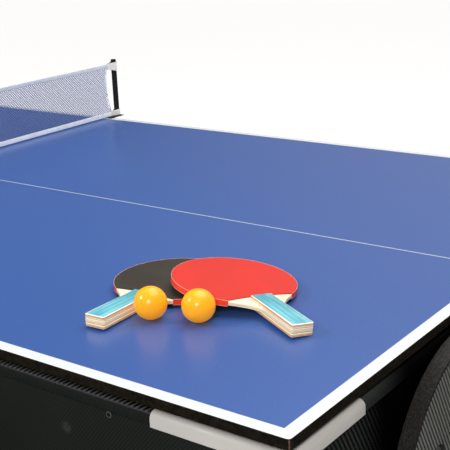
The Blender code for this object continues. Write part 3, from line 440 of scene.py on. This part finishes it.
def leather():
    """Leather-grained edging: fine pebbles with creases across them."""
    made = Finish("leather_edging", 0.58, Specular_IOR_Level=0.18)
    grain = made.cells(620)
    crease = made.noise(260, 4, 0.65)
    crest = made.step(crease, 0.3, 0.7)
    color = made.mix(crest, (0.0075, 0.0068, 0.0060), (0.0165, 0.0150, 0.0135))
    made.set("Base Color", made.shade(color, grain, 0.55, 1.45))
    made.set("Roughness", made.step(crease, 0.3, 0.7, 0.62, 0.46))
    made.bump(grain, 0.5, 0.0004)
    made.bump(crease, 0.4, 0.0005)
    return made.material


def cap_plastic():
    """Moulded pale grey plastic of the corner caps."""
    made = Finish("cap_plastic", 0.42, Specular_IOR_Level=0.45)
    made.set("Base Color", made.shade((0.410, 0.388, 0.362), made.noise(9, 3), 0.97, 1.03))
    made.set("Roughness", made.step(made.noise(70, 3), 0.3, 0.7, 0.36, 0.48))
    made.bump(made.noise(1400, 2), 0.12, 0.0002)
    return made.material


def cloth(name, color, scale=1200, depth=0.35):
    """Woven cloth: threads both ways over a soft nap."""
    made = Finish(name, 0.9, Sheen_Weight=0.25, Specular_IOR_Level=0.15)
    x, y, z = made.axes()
    turns = scale * 2 * math.pi / 1.5
    threads = [made.math("SINE", made.math("MULTIPLY", made.math("ADD", way, z), turns))
               for way in (x, y)]
    weave = made.step(made.math("MULTIPLY", *threads), -0.8, 0.8)
    nap = made.noise(220, 4, 0.7)
    made.set("Base Color", made.shade(made.shade(color, nap, 0.82, 1.15), weave, 0.94, 1.06))
    made.bump(weave, depth * 0.5, 0.0003)
    made.bump(nap, depth, 0.0004)
    return made.material


def wood(name, pale, dark, scale=60):
    """Bare wood or board with its grain along X."""
    made = Finish(name, 0.6, Specular_IOR_Level=0.35)
    drawn = made.stretched(0.06, 1, 1)
    grain = made.noise(scale * 6, 5, 0.6, drawn)
    broad = made.noise(scale, 2, 0.5, drawn)
    color = made.mix(made.step(grain, 0.35, 0.68), pale, dark)
    made.set("Base Color", made.shade(color, broad, 0.9, 1.08))
    made.bump(grain, 0.15, 0.0003)
    return made.material


def steel():
    """Turned steel, with fine marks round it."""
    made = Finish("steel", 0.3, Metallic=1.0)
    turning = made.noise(300, 4, 0.6, made.stretched(1, 0.05, 0.05))
    made.set("Base Color", made.shade((0.48, 0.48, 0.49), turning, 0.88, 1.1))
    made.set("Roughness", made.step(turning, 0.3, 0.7, 0.22, 0.40))
    made.bump(turning, 0.1, 0.0002)
    return made.material


def hockey_field():
    """Glossy white field with a generic centre line, circle and goal arcs."""
    made = Finish("hockey_white", 0.16, Specular_IOR_Level=0.5)
    x, y, _ = made.axes()
    circle = made.band(made.distance(x, y), RINK_CIRCLE, RINK_LINE, 0.0004)
    middle = made.band(x, 0.0, RINK_LINE, 0.0004)
    end = made.math("SUBTRACT", made.math("ABSOLUTE", x), RINK_GOAL_X)
    goals = made.band(made.distance(end, y), RINK_GOAL_RADIUS, RINK_LINE, 0.0004)
    white = made.shade((0.80, 0.82, 0.84), made.noise(6, 3), 0.97, 1.03)
    color = made.mix(made.math("MAXIMUM", circle, middle), white, (0.50, 0.03, 0.03))
    made.set("Base Color", made.mix(goals, color, (0.03, 0.09, 0.40)))
    made.bump(made.noise(90, 2), 0.03, 0.0003)
    return made.material


def ball_plastic():
    """Thin orange shell that passes on some of the light, with a faint orange glow all over that
    is painted light.
    """
    # The emission is painted light: an orange glow that lifts the shaded side.
    made = Finish("ball_orange", 0.23, Specular_IOR_Level=0.5, Subsurface_Weight=0.35,
                  Subsurface_Scale=0.010, Emission_Strength=0.32)
    made.shader.inputs["Subsurface Radius"].default_value = (1.0, 0.5, 0.15)
    made.shader.inputs["Emission Color"].default_value = (1.0, 0.31, 0.0, 1.0)
    made.set("Base Color", made.shade((0.96, 0.42, 0.008), made.noise(55, 3), 0.97, 1.03))
    made.bump(made.noise(500, 2), 0.05, 0.0002)
    return made.material


def rubber(name, color, vary=0.10):
    """Matt rubber with a fine grain."""
    made = Finish(name, 0.52, Specular_IOR_Level=0.30)
    fine = made.noise(900, 3, 0.7)
    broad = made.noise(24, 4)
    color = made.shade(color, fine, 0.94, 1.06)
    made.set("Base Color", made.shade(color, broad, 1 - vary, 1 + vary))
    made.set("Roughness", made.step(broad, 0.3, 0.7, 0.46, 0.60))
    made.bump(fine, 0.2, 0.0003)
    return made.material


def ply_layers(name, matrix, face=None):
    """Bat wood: plies show as lines on the sides, which also glow faintly as painted light; face
    is the paint of a handle's flat faces.
    """
    made = Finish(name, 0.42, Specular_IOR_Level=0.35)
    made.local(matrix)
    x, y, z = made.axes()
    grain = made.noise(420, 4, 0.6, made.stretched(0.05, 1, 1))
    cream = made.mix(made.step(grain, 0.3, 0.7), (1.0, 0.92, 0.70), (0.97, 0.82, 0.56))
    level = made.math("ADD", made.math("ABSOLUTE", z),
                      made.math("MULTIPLY", made.noise(60, 2), 0.0003))
    up = made.nodes.new("ShaderNodeVectorMath")
    up.operation = "DOT_PRODUCT"
    made.links.new(made.normal, up.inputs[0])
    up.inputs[1].default_value = matrix.to_3x3().col[2]
    flat = made.step(made.math("ABSOLUTE", up.outputs["Value"]), 0.80, 0.92)
    if face is None:
        middle = made.band(level, 0.0009, 0.00035, 0.00015)
        color = made.mix(middle, cream, (0.66, 0.42, 0.22))
    else:
        fine = made.math("SINE", made.math("MULTIPLY", level, 2 * math.pi / 0.0010))
        color = made.mix(made.step(fine, 0.4, 1.0, 0.0, 0.05), cream, (0.80, 0.58, 0.34))
        for place, half, soft, ply in HANDLE_PLIES:
            color = made.mix(made.band(level, place, half, soft), color, ply)
        color = made.mix(made.step(level, 0.0070, 0.0072), color, (0.97, 0.93, 0.86))
        streak = made.noise(170, 5, 0.65, made.stretched(0.10, 1, 1))
        paint = made.mix(made.step(streak, 0.35, 0.65), face, (0.23, 0.62, 0.66))
        rim = made.math("SUBTRACT", HANDLE_WIDTH / 2, made.math("ABSOLUTE", y))
        inside = made.step(made.math("MINIMUM", rim, x), 0.0014, 0.0017)
        color = made.mix(made.math("MULTIPLY", flat, inside), color, paint)
    made.set("Base Color", color)
    # Painted light: the sides glow faintly in cream; the flat faces don't.
    made.shader.inputs["Emission Color"].default_value = (1.0, 0.76, 0.46, 1.0)
    made.set("Emission Strength", made.step(flat, 0.0, 1.0, 0.13, 0.0))
    made.bump(grain, 0.12, 0.0003)
    return made.material


def net_yarn(name, color, scale=2500):
    """Woven tape of twisted yarn."""
    made = Finish(name, 0.85, Sheen_Weight=0.2, Specular_IOR_Level=0.2)
    _, y, z = made.axes()
    twist = made.math("SINE", made.math("MULTIPLY", made.math("ADD", y, z), scale))
    rows = made.math("SINE", made.math("MULTIPLY", made.math("SUBTRACT", y, z), scale * 0.7))
    weave = made.step(made.math("MULTIPLY", twist, rows), -0.7, 0.7)
    color = made.shade(color, weave, 0.88, 1.08)
    made.set("Base Color", made.shade(color, made.noise(70, 3), 0.94, 1.05))
    made.bump(weave, 0.4, 0.0004)
    return made.material


def net_strand():
    """Dark blue yarn, painted paler at the knots where strands cross as a highlight."""
    made = Finish("net_fabric", 0.85, Specular_IOR_Level=0.2)
    _, y, z = made.axes()
    low = NET_FOOT + TAPE_LOW * 0.5
    start = NET_END_FOOT + NET_TOP - TAPE_HIGH * 0.5 - low
    rise = made.math("SUBTRACT", z, low)
    waves = []
    for side in (y, made.math("MULTIPLY", y, -1.0)):
        place = made.math("ADD", made.math("SUBTRACT", side, rise), start)
        turns = made.math("MULTIPLY", place, 2 * math.pi / STRAND_STEP)
        waves.append(made.math("COSINE", turns))
    # Painted highlight: the yarn is paler where strands cross.
    knots_painted_pale = made.step(made.math("ADD", *waves), 0.5, 1.8)
    color = made.mix(knots_painted_pale, (0.036, 0.072, 0.27), (0.46, 0.51, 0.64))
    made.set("Base Color", made.shade(color, made.noise(900, 2), 0.85, 1.15))
    made.bump(knots_painted_pale, 0.3, 0.0004)
    return made.material


MATERIALS = {
    "carbon_panel": carbon_panel(),
    "cap_plastic": cap_plastic(),
    "leather_edging": leather(),
    "black_lacquer": plain("black_lacquer", (0.014, 0.013, 0.013), 0.34, grain=350, vary=0.2),
    "steel": steel(),
    "black_plastic": plain("black_plastic", (0.016, 0.016, 0.017), 0.40, grain=1200, vary=0.2),
    "foot_rubber": plain("foot_rubber", (0.018, 0.018, 0.018), 0.75, grain=900, depth=0.4,
                         vary=0.2),
    "bed_board": wood("bed_board", (0.46, 0.34, 0.21), (0.33, 0.23, 0.13), scale=40),
    "green_cloth": cloth("green_cloth", (0.012, 0.150, 0.050)),
    "hockey_white": hockey_field(),
    "bare_wood": wood("bare_wood", (0.56, 0.41, 0.25), (0.40, 0.27, 0.15)),
    "blue_board": blue_board(),
    "foam_pad": plain("foam_pad", (0.025, 0.025, 0.025), 0.95, grain=800, depth=0.6, vary=0.2),
    "black_metal": plain("black_metal", (0.008, 0.008, 0.008), 0.42, grain=1500, vary=0.2,
                         Specular_IOR_Level=0.25),
    "net_fabric": net_strand(),
    "red_rubber": rubber("red_rubber", (0.70, 0.032, 0.022), 0.03),
    "black_rubber": rubber("black_rubber", (0.041, 0.036, 0.027), 0.08),
    "ball_orange": ball_plastic(),
}
NODE_MATERIALS = {
    "top_rail_front": carbon_rail("carbon_rail_long", True),
    "top_rail_left": carbon_rail("carbon_rail_end", False),
    "apron_front": carbon_apron("carbon_apron_long", True),
    "apron_left": carbon_apron("carbon_apron_end", False),
    "lower_rail_frame": lower_frame(),
}
NODE_MATERIALS["top_rail_back"] = NODE_MATERIALS["top_rail_front"]
NODE_MATERIALS["top_rail_right"] = NODE_MATERIALS["top_rail_left"]
NODE_MATERIALS["apron_back"] = NODE_MATERIALS["apron_front"]
NODE_MATERIALS["apron_right"] = NODE_MATERIALS["apron_left"]


# ---------------------------------------------------------------- pieces
NODE_ROUNDS = {"apron": 0.0010, "foot_beam": 0.0010, "stretcher": 0.0010, "end_panel": 0.0006,
               "net_bracket": 0.0004, "hockey_bed": 0.0005, "centre_spine": 0.0010,
               "bat_black_grip": 0.0008, "bat_red_grip": 0.0008, "bat_black_blade": 0.0003,
               "bat_red_blade": 0.0003}


def finish_nodes():
    """Gives each CAD node its material, welded faces, fine edge rounds and smooth shading."""
    slots = {row["node"]: row["material_slot"] for row in frame["record"]["subparts"]}
    for name, obj in frame["nodes"].items():
        obj.data.materials.clear()
        obj.data.materials.append(NODE_MATERIALS.get(name) or MATERIALS.get(slots[name]))
        obj.data.attributes.remove(obj.data.attributes["custom_normal"])
        weld = obj.modifiers.new("weld", "WELD")
        weld.merge_threshold = 0.00001
        flat = obj.modifiers.new("flat faces", "DECIMATE")
        flat.decimate_type = "DISSOLVE"
        flat.angle_limit = math.radians(0.5)
        for start, width in NODE_ROUNDS.items():
            if name.startswith(start):
                rounded = obj.modifiers.new("edge rounds", "BEVEL")
                rounded.width = width
                rounded.segments = 2
                rounded.limit_method = "ANGLE"
                rounded.angle_limit = math.radians(40)
        smooth_by_angle(obj)


def new_piece(name, mesh, material, body, matrix=None):
    obj = bpy.data.objects.new(name, mesh)
    bpy.context.scene.collection.objects.link(obj)
    if matrix is not None:
        obj.matrix_world = matrix
    mesh.materials.append(material)
    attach(obj, body)
    return obj


def mesh_of(bm, name):
    """Mesh of the faces, turned outward; the BMesh is freed."""
    bmesh.ops.recalc_face_normals(bm, faces=bm.faces)
    mesh = bpy.data.meshes.new(name)
    bm.to_mesh(mesh)
    bm.free()
    return mesh


def rectangle(half_x, half_y):
    """Its corners, in order."""
    return [(-half_x, -half_y), (half_x, -half_y), (half_x, half_y), (-half_x, half_y)]


def skin(bm, rows):
    """Closed faces over successive rings of points, with a face over each end."""
    rows = [[bm.verts.new(point) for point in row] for row in rows]
    for first, second in zip(rows, rows[1:]):
        for i in range(len(first)):
            j = (i + 1) % len(first)
            bm.faces.new((first[i], second[i], second[j], first[j]))
    bm.faces.new(rows[0])
    bm.faces.new(rows[-1][::-1])


def smooth_by_angle(obj, degrees=38):
    obj.data.shade_smooth()
    split = obj.modifiers.new("sharp edges", "EDGE_SPLIT")
    split.split_angle = math.radians(degrees)
    return obj


def lathe(name, profile, matrix, material, body, steps=40):
    """Profile of (radius, height) points, closed, spun about the matrix's Z."""
    bm = bmesh.new()
    verts = [bm.verts.new((radius, 0.0, height)) for radius, height in profile]
    edges = [bm.edges.new((a, b)) for a, b in zip(verts, verts[1:] + verts[:1])]
    bmesh.ops.spin(bm, geom=verts + edges, cent=(0, 0, 0), axis=(0, 0, 1),
                   angle=2 * math.pi, steps=steps, use_merge=True)
    bmesh.ops.remove_doubles(bm, verts=bm.verts, dist=1e-6)
    piece = new_piece(name, mesh_of(bm, name), material, body, matrix)
    return smooth_by_angle(piece)


def prism(name, outline, low, high, material, body, matrix):
    """A flat outline between two levels."""
    bm = bmesh.new()
    face = bm.faces.new([bm.verts.new((x, y, low)) for x, y in outline])
    raised = bmesh.ops.extrude_face_region(bm, geom=[face])["geom"]
    bmesh.ops.translate(bm, vec=(0, 0, high - low),
                        verts=[v for v in raised if isinstance(v, bmesh.types.BMVert)])
    piece = new_piece(name, mesh_of(bm, name), material, body, matrix)
    return smooth_by_angle(piece)


def outward(direction, place):
    """Matrix whose Z points along direction."""
    turn = Vector(direction).to_track_quat("Z", "Y").to_matrix().to_4x4()
    return Matrix.Translation(place) @ turn


def fasteners():
    """Bolts under the long rails and caps over the screws in the end panels."""
    rim = plain("bolt_rim", (0.045, 0.047, 0.045), 0.40, grain=900, Specular_IOR_Level=0.3)
    # The socket disc is near black: painted shade of the socket's hole, darker than the bolt's own
    # colour.
    socket = plain("bolt_socket", (0.003, 0.003, 0.003), 0.6, grain=900, Specular_IOR_Level=0.1)
    z = APRON_HIGH.z - BOLT_RADIUS - BOLT_DROP
    for face, towards in FACES.items():
        for number, x in enumerate(BOLT_PLACES):
            place = outward((0, towards, 0), (x, towards * APRON_FACE_Y, z))
            lathe(f"apron_bolt_{face}_{number}", BOLT_HEAD, place, rim, "cabinet", 28)
            lathe(f"apron_bolt_socket_{face}_{number}", BOLT_SOCKET, place, socket, "cabinet", 6)
    cover = plain("screw_cap", (0.060, 0.060, 0.056), 0.5, grain=1200)
    places = [(y, z) for z in SCREW_CAP_LEVELS for y in (-SCREW_CAP_Y, SCREW_CAP_Y)]
    for side, sign in SIDES.items():
        for number, (y, z) in enumerate(places):
            place = outward((sign, 0, 0), (sign * (PANEL_RIM_X - SCREW_CAP_INSET), y, z))
            lathe(f"screw_cap_{side}_{number}", SCREW_CAP, place, cover, "stand", 40)


def bumper_rings():
    """Rubber rings on the ring of eight posts and on the two posts beside each pocket."""
    red = rubber("bumper_rubber", (0.55, 0.030, 0.022))
    turns = [math.radians(45 * number) for number in range(8)]
    places = [(BUMPER_RING * math.cos(turn), BUMPER_RING * math.sin(turn)) for turn in turns]
    places += [(sign * POCKET_X, towards * POCKET_GUARD)
               for sign in SIDES.values() for towards in FACES.values()]
    for number, (x, y) in enumerate(places):
        place = Matrix.Translation((x, y, CLOTH_TOP))
        lathe(f"bumper_ring_{number:02d}", BUMPER_RUBBER, place, red, "cabinet", 36)


# ---------------------------------------------------------------- net
def net_half_length(z):
    """Half the mesh's length at a height; its ends bow inward between the tapes."""
    share = (z - NET_FOOT) / (NET_TOP - NET_FOOT)
    straight = NET_END_FOOT + (NET_END_TOP - NET_END_FOOT) * share
    bow = (NET_END_FOOT + NET_END_TOP) / 2 - NET_END_WAIST
    return straight - bow * math.sin(math.pi * share)


def cross_strands(bm, lean):
    """One family of slanting strands, clipped to the net's outline."""
    low, high = NET_FOOT + TAPE_LOW * 0.5, NET_TOP - TAPE_HIGH * 0.5
    shift = lean * STRAND_THICK * 0.4
    start = -(NET_END_FOOT + high - low)
    depth = Vector((STRAND_THICK / 2, 0, 0))
    for number in range(int(-2 * start / STRAND_STEP)):
        foot = start + number * STRAND_STEP
        inside = []
        for step in range(25):
            z = low + (high - low) * step / 24
            y = lean * (foot + (z - low))
            if abs(y) <= net_half_length(z):
                inside.append(Vector((shift, y, z)))
        if len(inside) < 2:
            continue
        run = inside[-1] - inside[0]
        side = Vector((0, -run.z, run.y)).normalized() * STRAND_WIDTH / 2
        skin(bm, [[at + a * side + b * depth for a, b in rectangle(1, 1)]
                  for at in (inside[0], inside[-1])])


def tape(name, low, high, material, reach):
    """A folded tape along the mesh's edge, in gentle waves."""
    thick = TAPE_HALF_THICK
    bend = high - TAPE_FOLD
    section = [(-thick, low), (-thick, bend), (-thick * 0.5, high), (thick * 0.5, high),
               (thick, bend), (thick, low)]
    rows = []
    for step in range(TAPE_STEPS + 1):
        y = reach * (2 * step / TAPE_STEPS - 1)
        wave = TAPE_WAVE * math.sin(y * TAPE_WAVES)
        rows.append([(x + wave, y, z) for x, z in section])
    bm = bmesh.new()
    skin(bm, rows)
    piece = new_piece(name, mesh_of(bm, name), material, "tennis_top")
    return smooth_by_angle(piece)


def strap(name, towards, reach, post_levels, net_levels, material):
    """Sleeve of tape that leaves the net's end, goes round the post and comes back."""
    radius = POST_RADIUS + STRAP_CLEAR
    start = reach - STRAP_LAP
    on, past = STRAP_GAPS
    first, last = STRAP_WRAP
    path = [(on, start), (past, reach + STRAP_PAST)]
    for step in range(13):
        angle = math.radians(first + (last - first) * step / 12)
        path.append((radius * math.cos(angle), POST_Y + radius * math.sin(angle)))
    path += [(-past, reach + STRAP_PAST), (-on, start)]
    bm = bmesh.new()
    rows = []
    for x, y in path:
        share = min(max((y - start) / (POST_Y - start), 0.0), 1.0) ** 0.8
        rows.append([bm.verts.new((x, towards * y, before + (after - before) * share))
                     for before, after in zip(net_levels, post_levels)])
    for first, second in zip(rows, rows[1:]):
        bm.faces.new((first[0], second[0], second[1], first[1]))
    mesh = bpy.data.meshes.new(name)
    bm.to_mesh(mesh)
    bm.free()
    obj = new_piece(name, mesh, material, "tennis_top")
    body = obj.modifiers.new("cloth", "SOLIDIFY")
    body.thickness = STRAP_THICK
    body.offset = 0.0
    return smooth_by_angle(obj, 60)


def hem(name, towards, material):
    """Narrow band that closes one end of the mesh and follows its bow."""
    corners = rectangle(*HEM_HALF)
    levels = [NET_FOOT + (NET_TOP - NET_FOOT) * k / 24 for k in range(25)]
    bm = bmesh.new()
    skin(bm, [[(x, towards * net_half_length(z) + y, z) for x, y in corners] for z in levels])
    return new_piece(name, mesh_of(bm, name), material, "tennis_top")


def net():
    """Mesh of crossing strands with its tapes, end hems, straps and stitched seams."""
    tape_white = net_yarn("net_tape", (0.80, 0.84, 0.93))
    tape_grey = net_yarn("net_tape_grey", (0.56, 0.60, 0.68))
    strap_white = net_yarn("net_strap", (0.78, 0.75, 0.73))
    stitch = plain("stitching", (0.05, 0.06, 0.10), 0.8)
    bm = bmesh.new()
    for lean in (-1, 1):
        cross_strands(bm, lean)
    mesh = new_piece("net_mesh", mesh_of(bm, "net_mesh"), MATERIALS["net_fabric"], "tennis_top")
    pieces = [tape("net_tape_bottom", NET_FOOT, NET_FOOT + TAPE_LOW, tape_white, NET_END_FOOT),
              tape("net_tape_top", NET_TOP - TAPE_HIGH, NET_TOP, tape_grey, NET_END_TOP)]
    outline = rectangle(*STITCH_HALF)
    for face, towards in FACES.items():
        pieces += [
            strap(f"net_strap_top_{face}", towards, NET_END_TOP,
                  [NET_TOP + level for level in STRAP_TOP], (NET_TOP - TAPE_HIGH, NET_TOP),
                  strap_white),
            strap(f"net_strap_bottom_{face}", towards, NET_END_FOOT,
                  [SURFACE + level for level in STRAP_BOTTOM], (NET_FOOT, NET_FOOT + TAPE_LOW),
                  strap_white),
            hem(f"net_hem_{face}", towards, tape_white),
            prism(f"net_stitch_{face}", outline, NET_TOP + STITCH_LEVELS[0],
                  NET_TOP + STITCH_LEVELS[1], stitch, "tennis_top",
                  Matrix.Translation((0, towards * (NET_END_TOP - 0.001), 0)))]
    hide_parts("net")


# ---------------------------------------------------------------- bats
def bat_matrix(name):
    """The bat's frame: middle of the handle's end at the origin, +X to the tip, +Z through."""
    points = {}
    for label in ("blade", "rubber_top", "grip_top"):
        mesh = frame["nodes"][f"{name}_{label}"].data
        flat = np.empty(3 * len(mesh.vertices), np.float32)
        mesh.vertices.foreach_get("co", flat)
        points[label] = np.unique(np.round(flat.reshape(-1, 3).astype(float), 5), axis=0)
    blade = points["blade"]
    middle = blade.mean(axis=0)
    axes = np.linalg.svd(blade - middle, full_matrices=False)[2]
    along, through = axes[0], axes[2]
    if (points["rubber_top"].mean(axis=0) - points["grip_top"].mean(axis=0)) @ along < 0:
        along = -along
    if through[2] < 0:
        through = -through
    across = np.cross(through, along)
    start = ((blade - middle) @ along).min()
    side = (blade - middle) @ across
    level = (blade - middle) @ through
    place = (middle + along * start + across * (side.max() + side.min()) / 2
             + through * (level.max() + level.min()) / 2)
    turn = Matrix([list(along), list(across), list(through)]).transposed().to_4x4()
    return Matrix.Translation(place) @ turn


def blade_arc(grow, steps=72):
    """Outline of the blade's round part, moved out by grow, from neck to neck."""
    points = []
    for step in range(steps + 1):
        angle = math.radians(SHOULDER_ANGLE * (2 * step / steps - 1))
        points.append((BLADE_CENTRE + (BLADE_LENGTH / 2 + grow) * math.cos(angle),
                       (BLADE_WIDTH / 2 + grow) * math.sin(angle)))
    return points


def edge_tape(name):
    """Red tape with a pale band painted along both rims as a highlight."""
    made = Finish(name, 0.40, Specular_IOR_Level=0.4)
    z = made.math("ABSOLUTE", made.axes()[2])
    # Painted highlight: a pale band along each rim of the tape.
    painted_rim_highlight = made.step(z, BLADE_THICK / 2 - 0.0005, BLADE_THICK / 2 - 0.0002)
    red = made.shade((1.0, 0.055, 0.018), made.noise(300, 3), 0.95, 1.05)
    made.set("Base Color", made.mix(painted_rim_highlight, red, (0.95, 0.50, 0.42)))
    made.bump(made.noise(900, 2), 0.1, 0.0002)
    return made.material


def bat(name):
    """Plies and paint in the bat's own frame, and the tape round its edge."""
    matrix = bat_matrix(name)
    frame["nodes"][f"{name}_blade"].data.materials[0] = ply_layers(f"{name}_ply", matrix)
    grip = ply_layers(f"{name}_grip", matrix, (0.085, 0.40, 0.50))
    for label in ("top", "bottom"):
        frame["nodes"][f"{name}_grip_{label}"].data.materials[0] = grip
    half = BLADE_THICK / 2 + 0.0001
    inner, outer = TAPE_GROW
    prism(f"{name}_edge_tape", blade_arc(outer) + blade_arc(inner)[::-1], -half, half,
          edge_tape(f"{name}_edge_tape"), name, matrix)


# ---------------------------------------------------------------- studio
def sky():
    """Soft surround: grey with a warm reflector and a dark gap, and plain white where it shows."""
    world = bpy.data.worlds.new("studio")
    world.use_nodes = True
    nodes, links = world.node_tree.nodes, world.node_tree.links
    ramp = nodes.new("ShaderNodeValToRGB")
    for position, color in SURROUND[1:-1]:
        ramp.color_ramp.elements.new(position).color = (*color, 1.0)
    ramp.color_ramp.elements[0].color = (*SURROUND[0][1], 1.0)
    ramp.color_ramp.elements[-1].color = (*SURROUND[-1][1], 1.0)
    coordinates = nodes.new("ShaderNodeTexCoord")
    split = nodes.new("ShaderNodeSeparateXYZ")
    links.new(coordinates.outputs["Generated"], split.inputs[0])
    heading = nodes.new("ShaderNodeMath")
    heading.operation = "ARCTAN2"
    links.new(split.outputs[1], heading.inputs[0])
    links.new(split.outputs[0], heading.inputs[1])
    turn = nodes.new("ShaderNodeMapRange")
    turn.inputs["From Min"].default_value = -math.pi
    turn.inputs["From Max"].default_value = math.pi
    links.new(heading.outputs[0], turn.inputs["Value"])
    links.new(turn.outputs[0], ramp.inputs[0])
    above = nodes.new("ShaderNodeMapRange")
    above.inputs["From Min"].default_value = -0.05
    above.inputs["From Max"].default_value = 0.02
    above.inputs["To Min"].default_value = 0.06
    links.new(split.outputs[2], above.inputs["Value"])
    seen = nodes.new("ShaderNodeLightPath")
    strength = nodes.new("ShaderNodeMix")
    strength.data_type = "FLOAT"
    links.new(seen.outputs["Is Camera Ray"], strength.inputs[0])
    links.new(above.outputs[0], strength.inputs[2])
    strength.inputs[3].default_value = 1.0
    plain_or_sky = nodes.new("ShaderNodeMix")
    plain_or_sky.data_type = "RGBA"
    links.new(seen.outputs["Is Camera Ray"], plain_or_sky.inputs[0])
    links.new(ramp.outputs[0], plain_or_sky.inputs[6])
    plain_or_sky.inputs[7].default_value = (1.0, 1.0, 1.0, 1.0)
    background = nodes["Background"]
    links.new(plain_or_sky.outputs[2], background.inputs["Color"])
    links.new(strength.outputs[0], background.inputs["Strength"])
    bpy.context.scene.world = world


def studio():
    """Pale floor, surround and lamps."""
    bpy.ops.mesh.primitive_plane_add(size=FLOOR_SIZE)
    floor = bpy.context.object
    floor.name = "floor"
    made = Finish("floor", 0.9, Specular_IOR_Level=0.0, Emission_Strength=0.62)
    made.shader.inputs["Emission Color"].default_value = (1.0, 1.0, 1.0, 1.0)
    made.set("Base Color", made.shade((0.96, 0.96, 0.96), made.noise(0.4), 0.995, 1.005))
    floor.data.materials.append(made.material)
    floor.visible_glossy = False
    sky()
    for name, (place, target, size, power) in LAMPS.items():
        data = bpy.data.lights.new(name, "AREA")
        data.shape = "RECTANGLE"
        data.size, data.size_y = size
        data.energy = power
        lamp = bpy.data.objects.new(name, data)
        bpy.context.scene.collection.objects.link(lamp)
        lamp.location = place
        lamp.rotation_euler = (Vector(target) - Vector(place)).to_track_quat("-Z", "Y").to_euler()


def camera():
    data = bpy.data.cameras.new("camera")
    data.lens = CAMERA_LENS
    data.sensor_width = 36.0
    data.shift_x = CAMERA_SHIFT
    data.clip_start = 0.05
    data.clip_end = 100.0
    eye = bpy.data.objects.new("camera", data)
    bpy.context.scene.collection.objects.link(eye)
    turn = Matrix.Translation(CAMERA_PLACE)
    for axis, degrees in CAMERA_TURN:
        turn = turn @ Matrix.Rotation(math.radians(degrees), 4, axis)
    eye.matrix_world = turn
    bpy.context.scene.camera = eye


finish_nodes()
fasteners()
bumper_rings()
net()
for bat_name in ("bat_black", "bat_red"):
    bat(bat_name)
studio()
camera()
bpy.context.scene.view_settings.view_transform = "Standard"
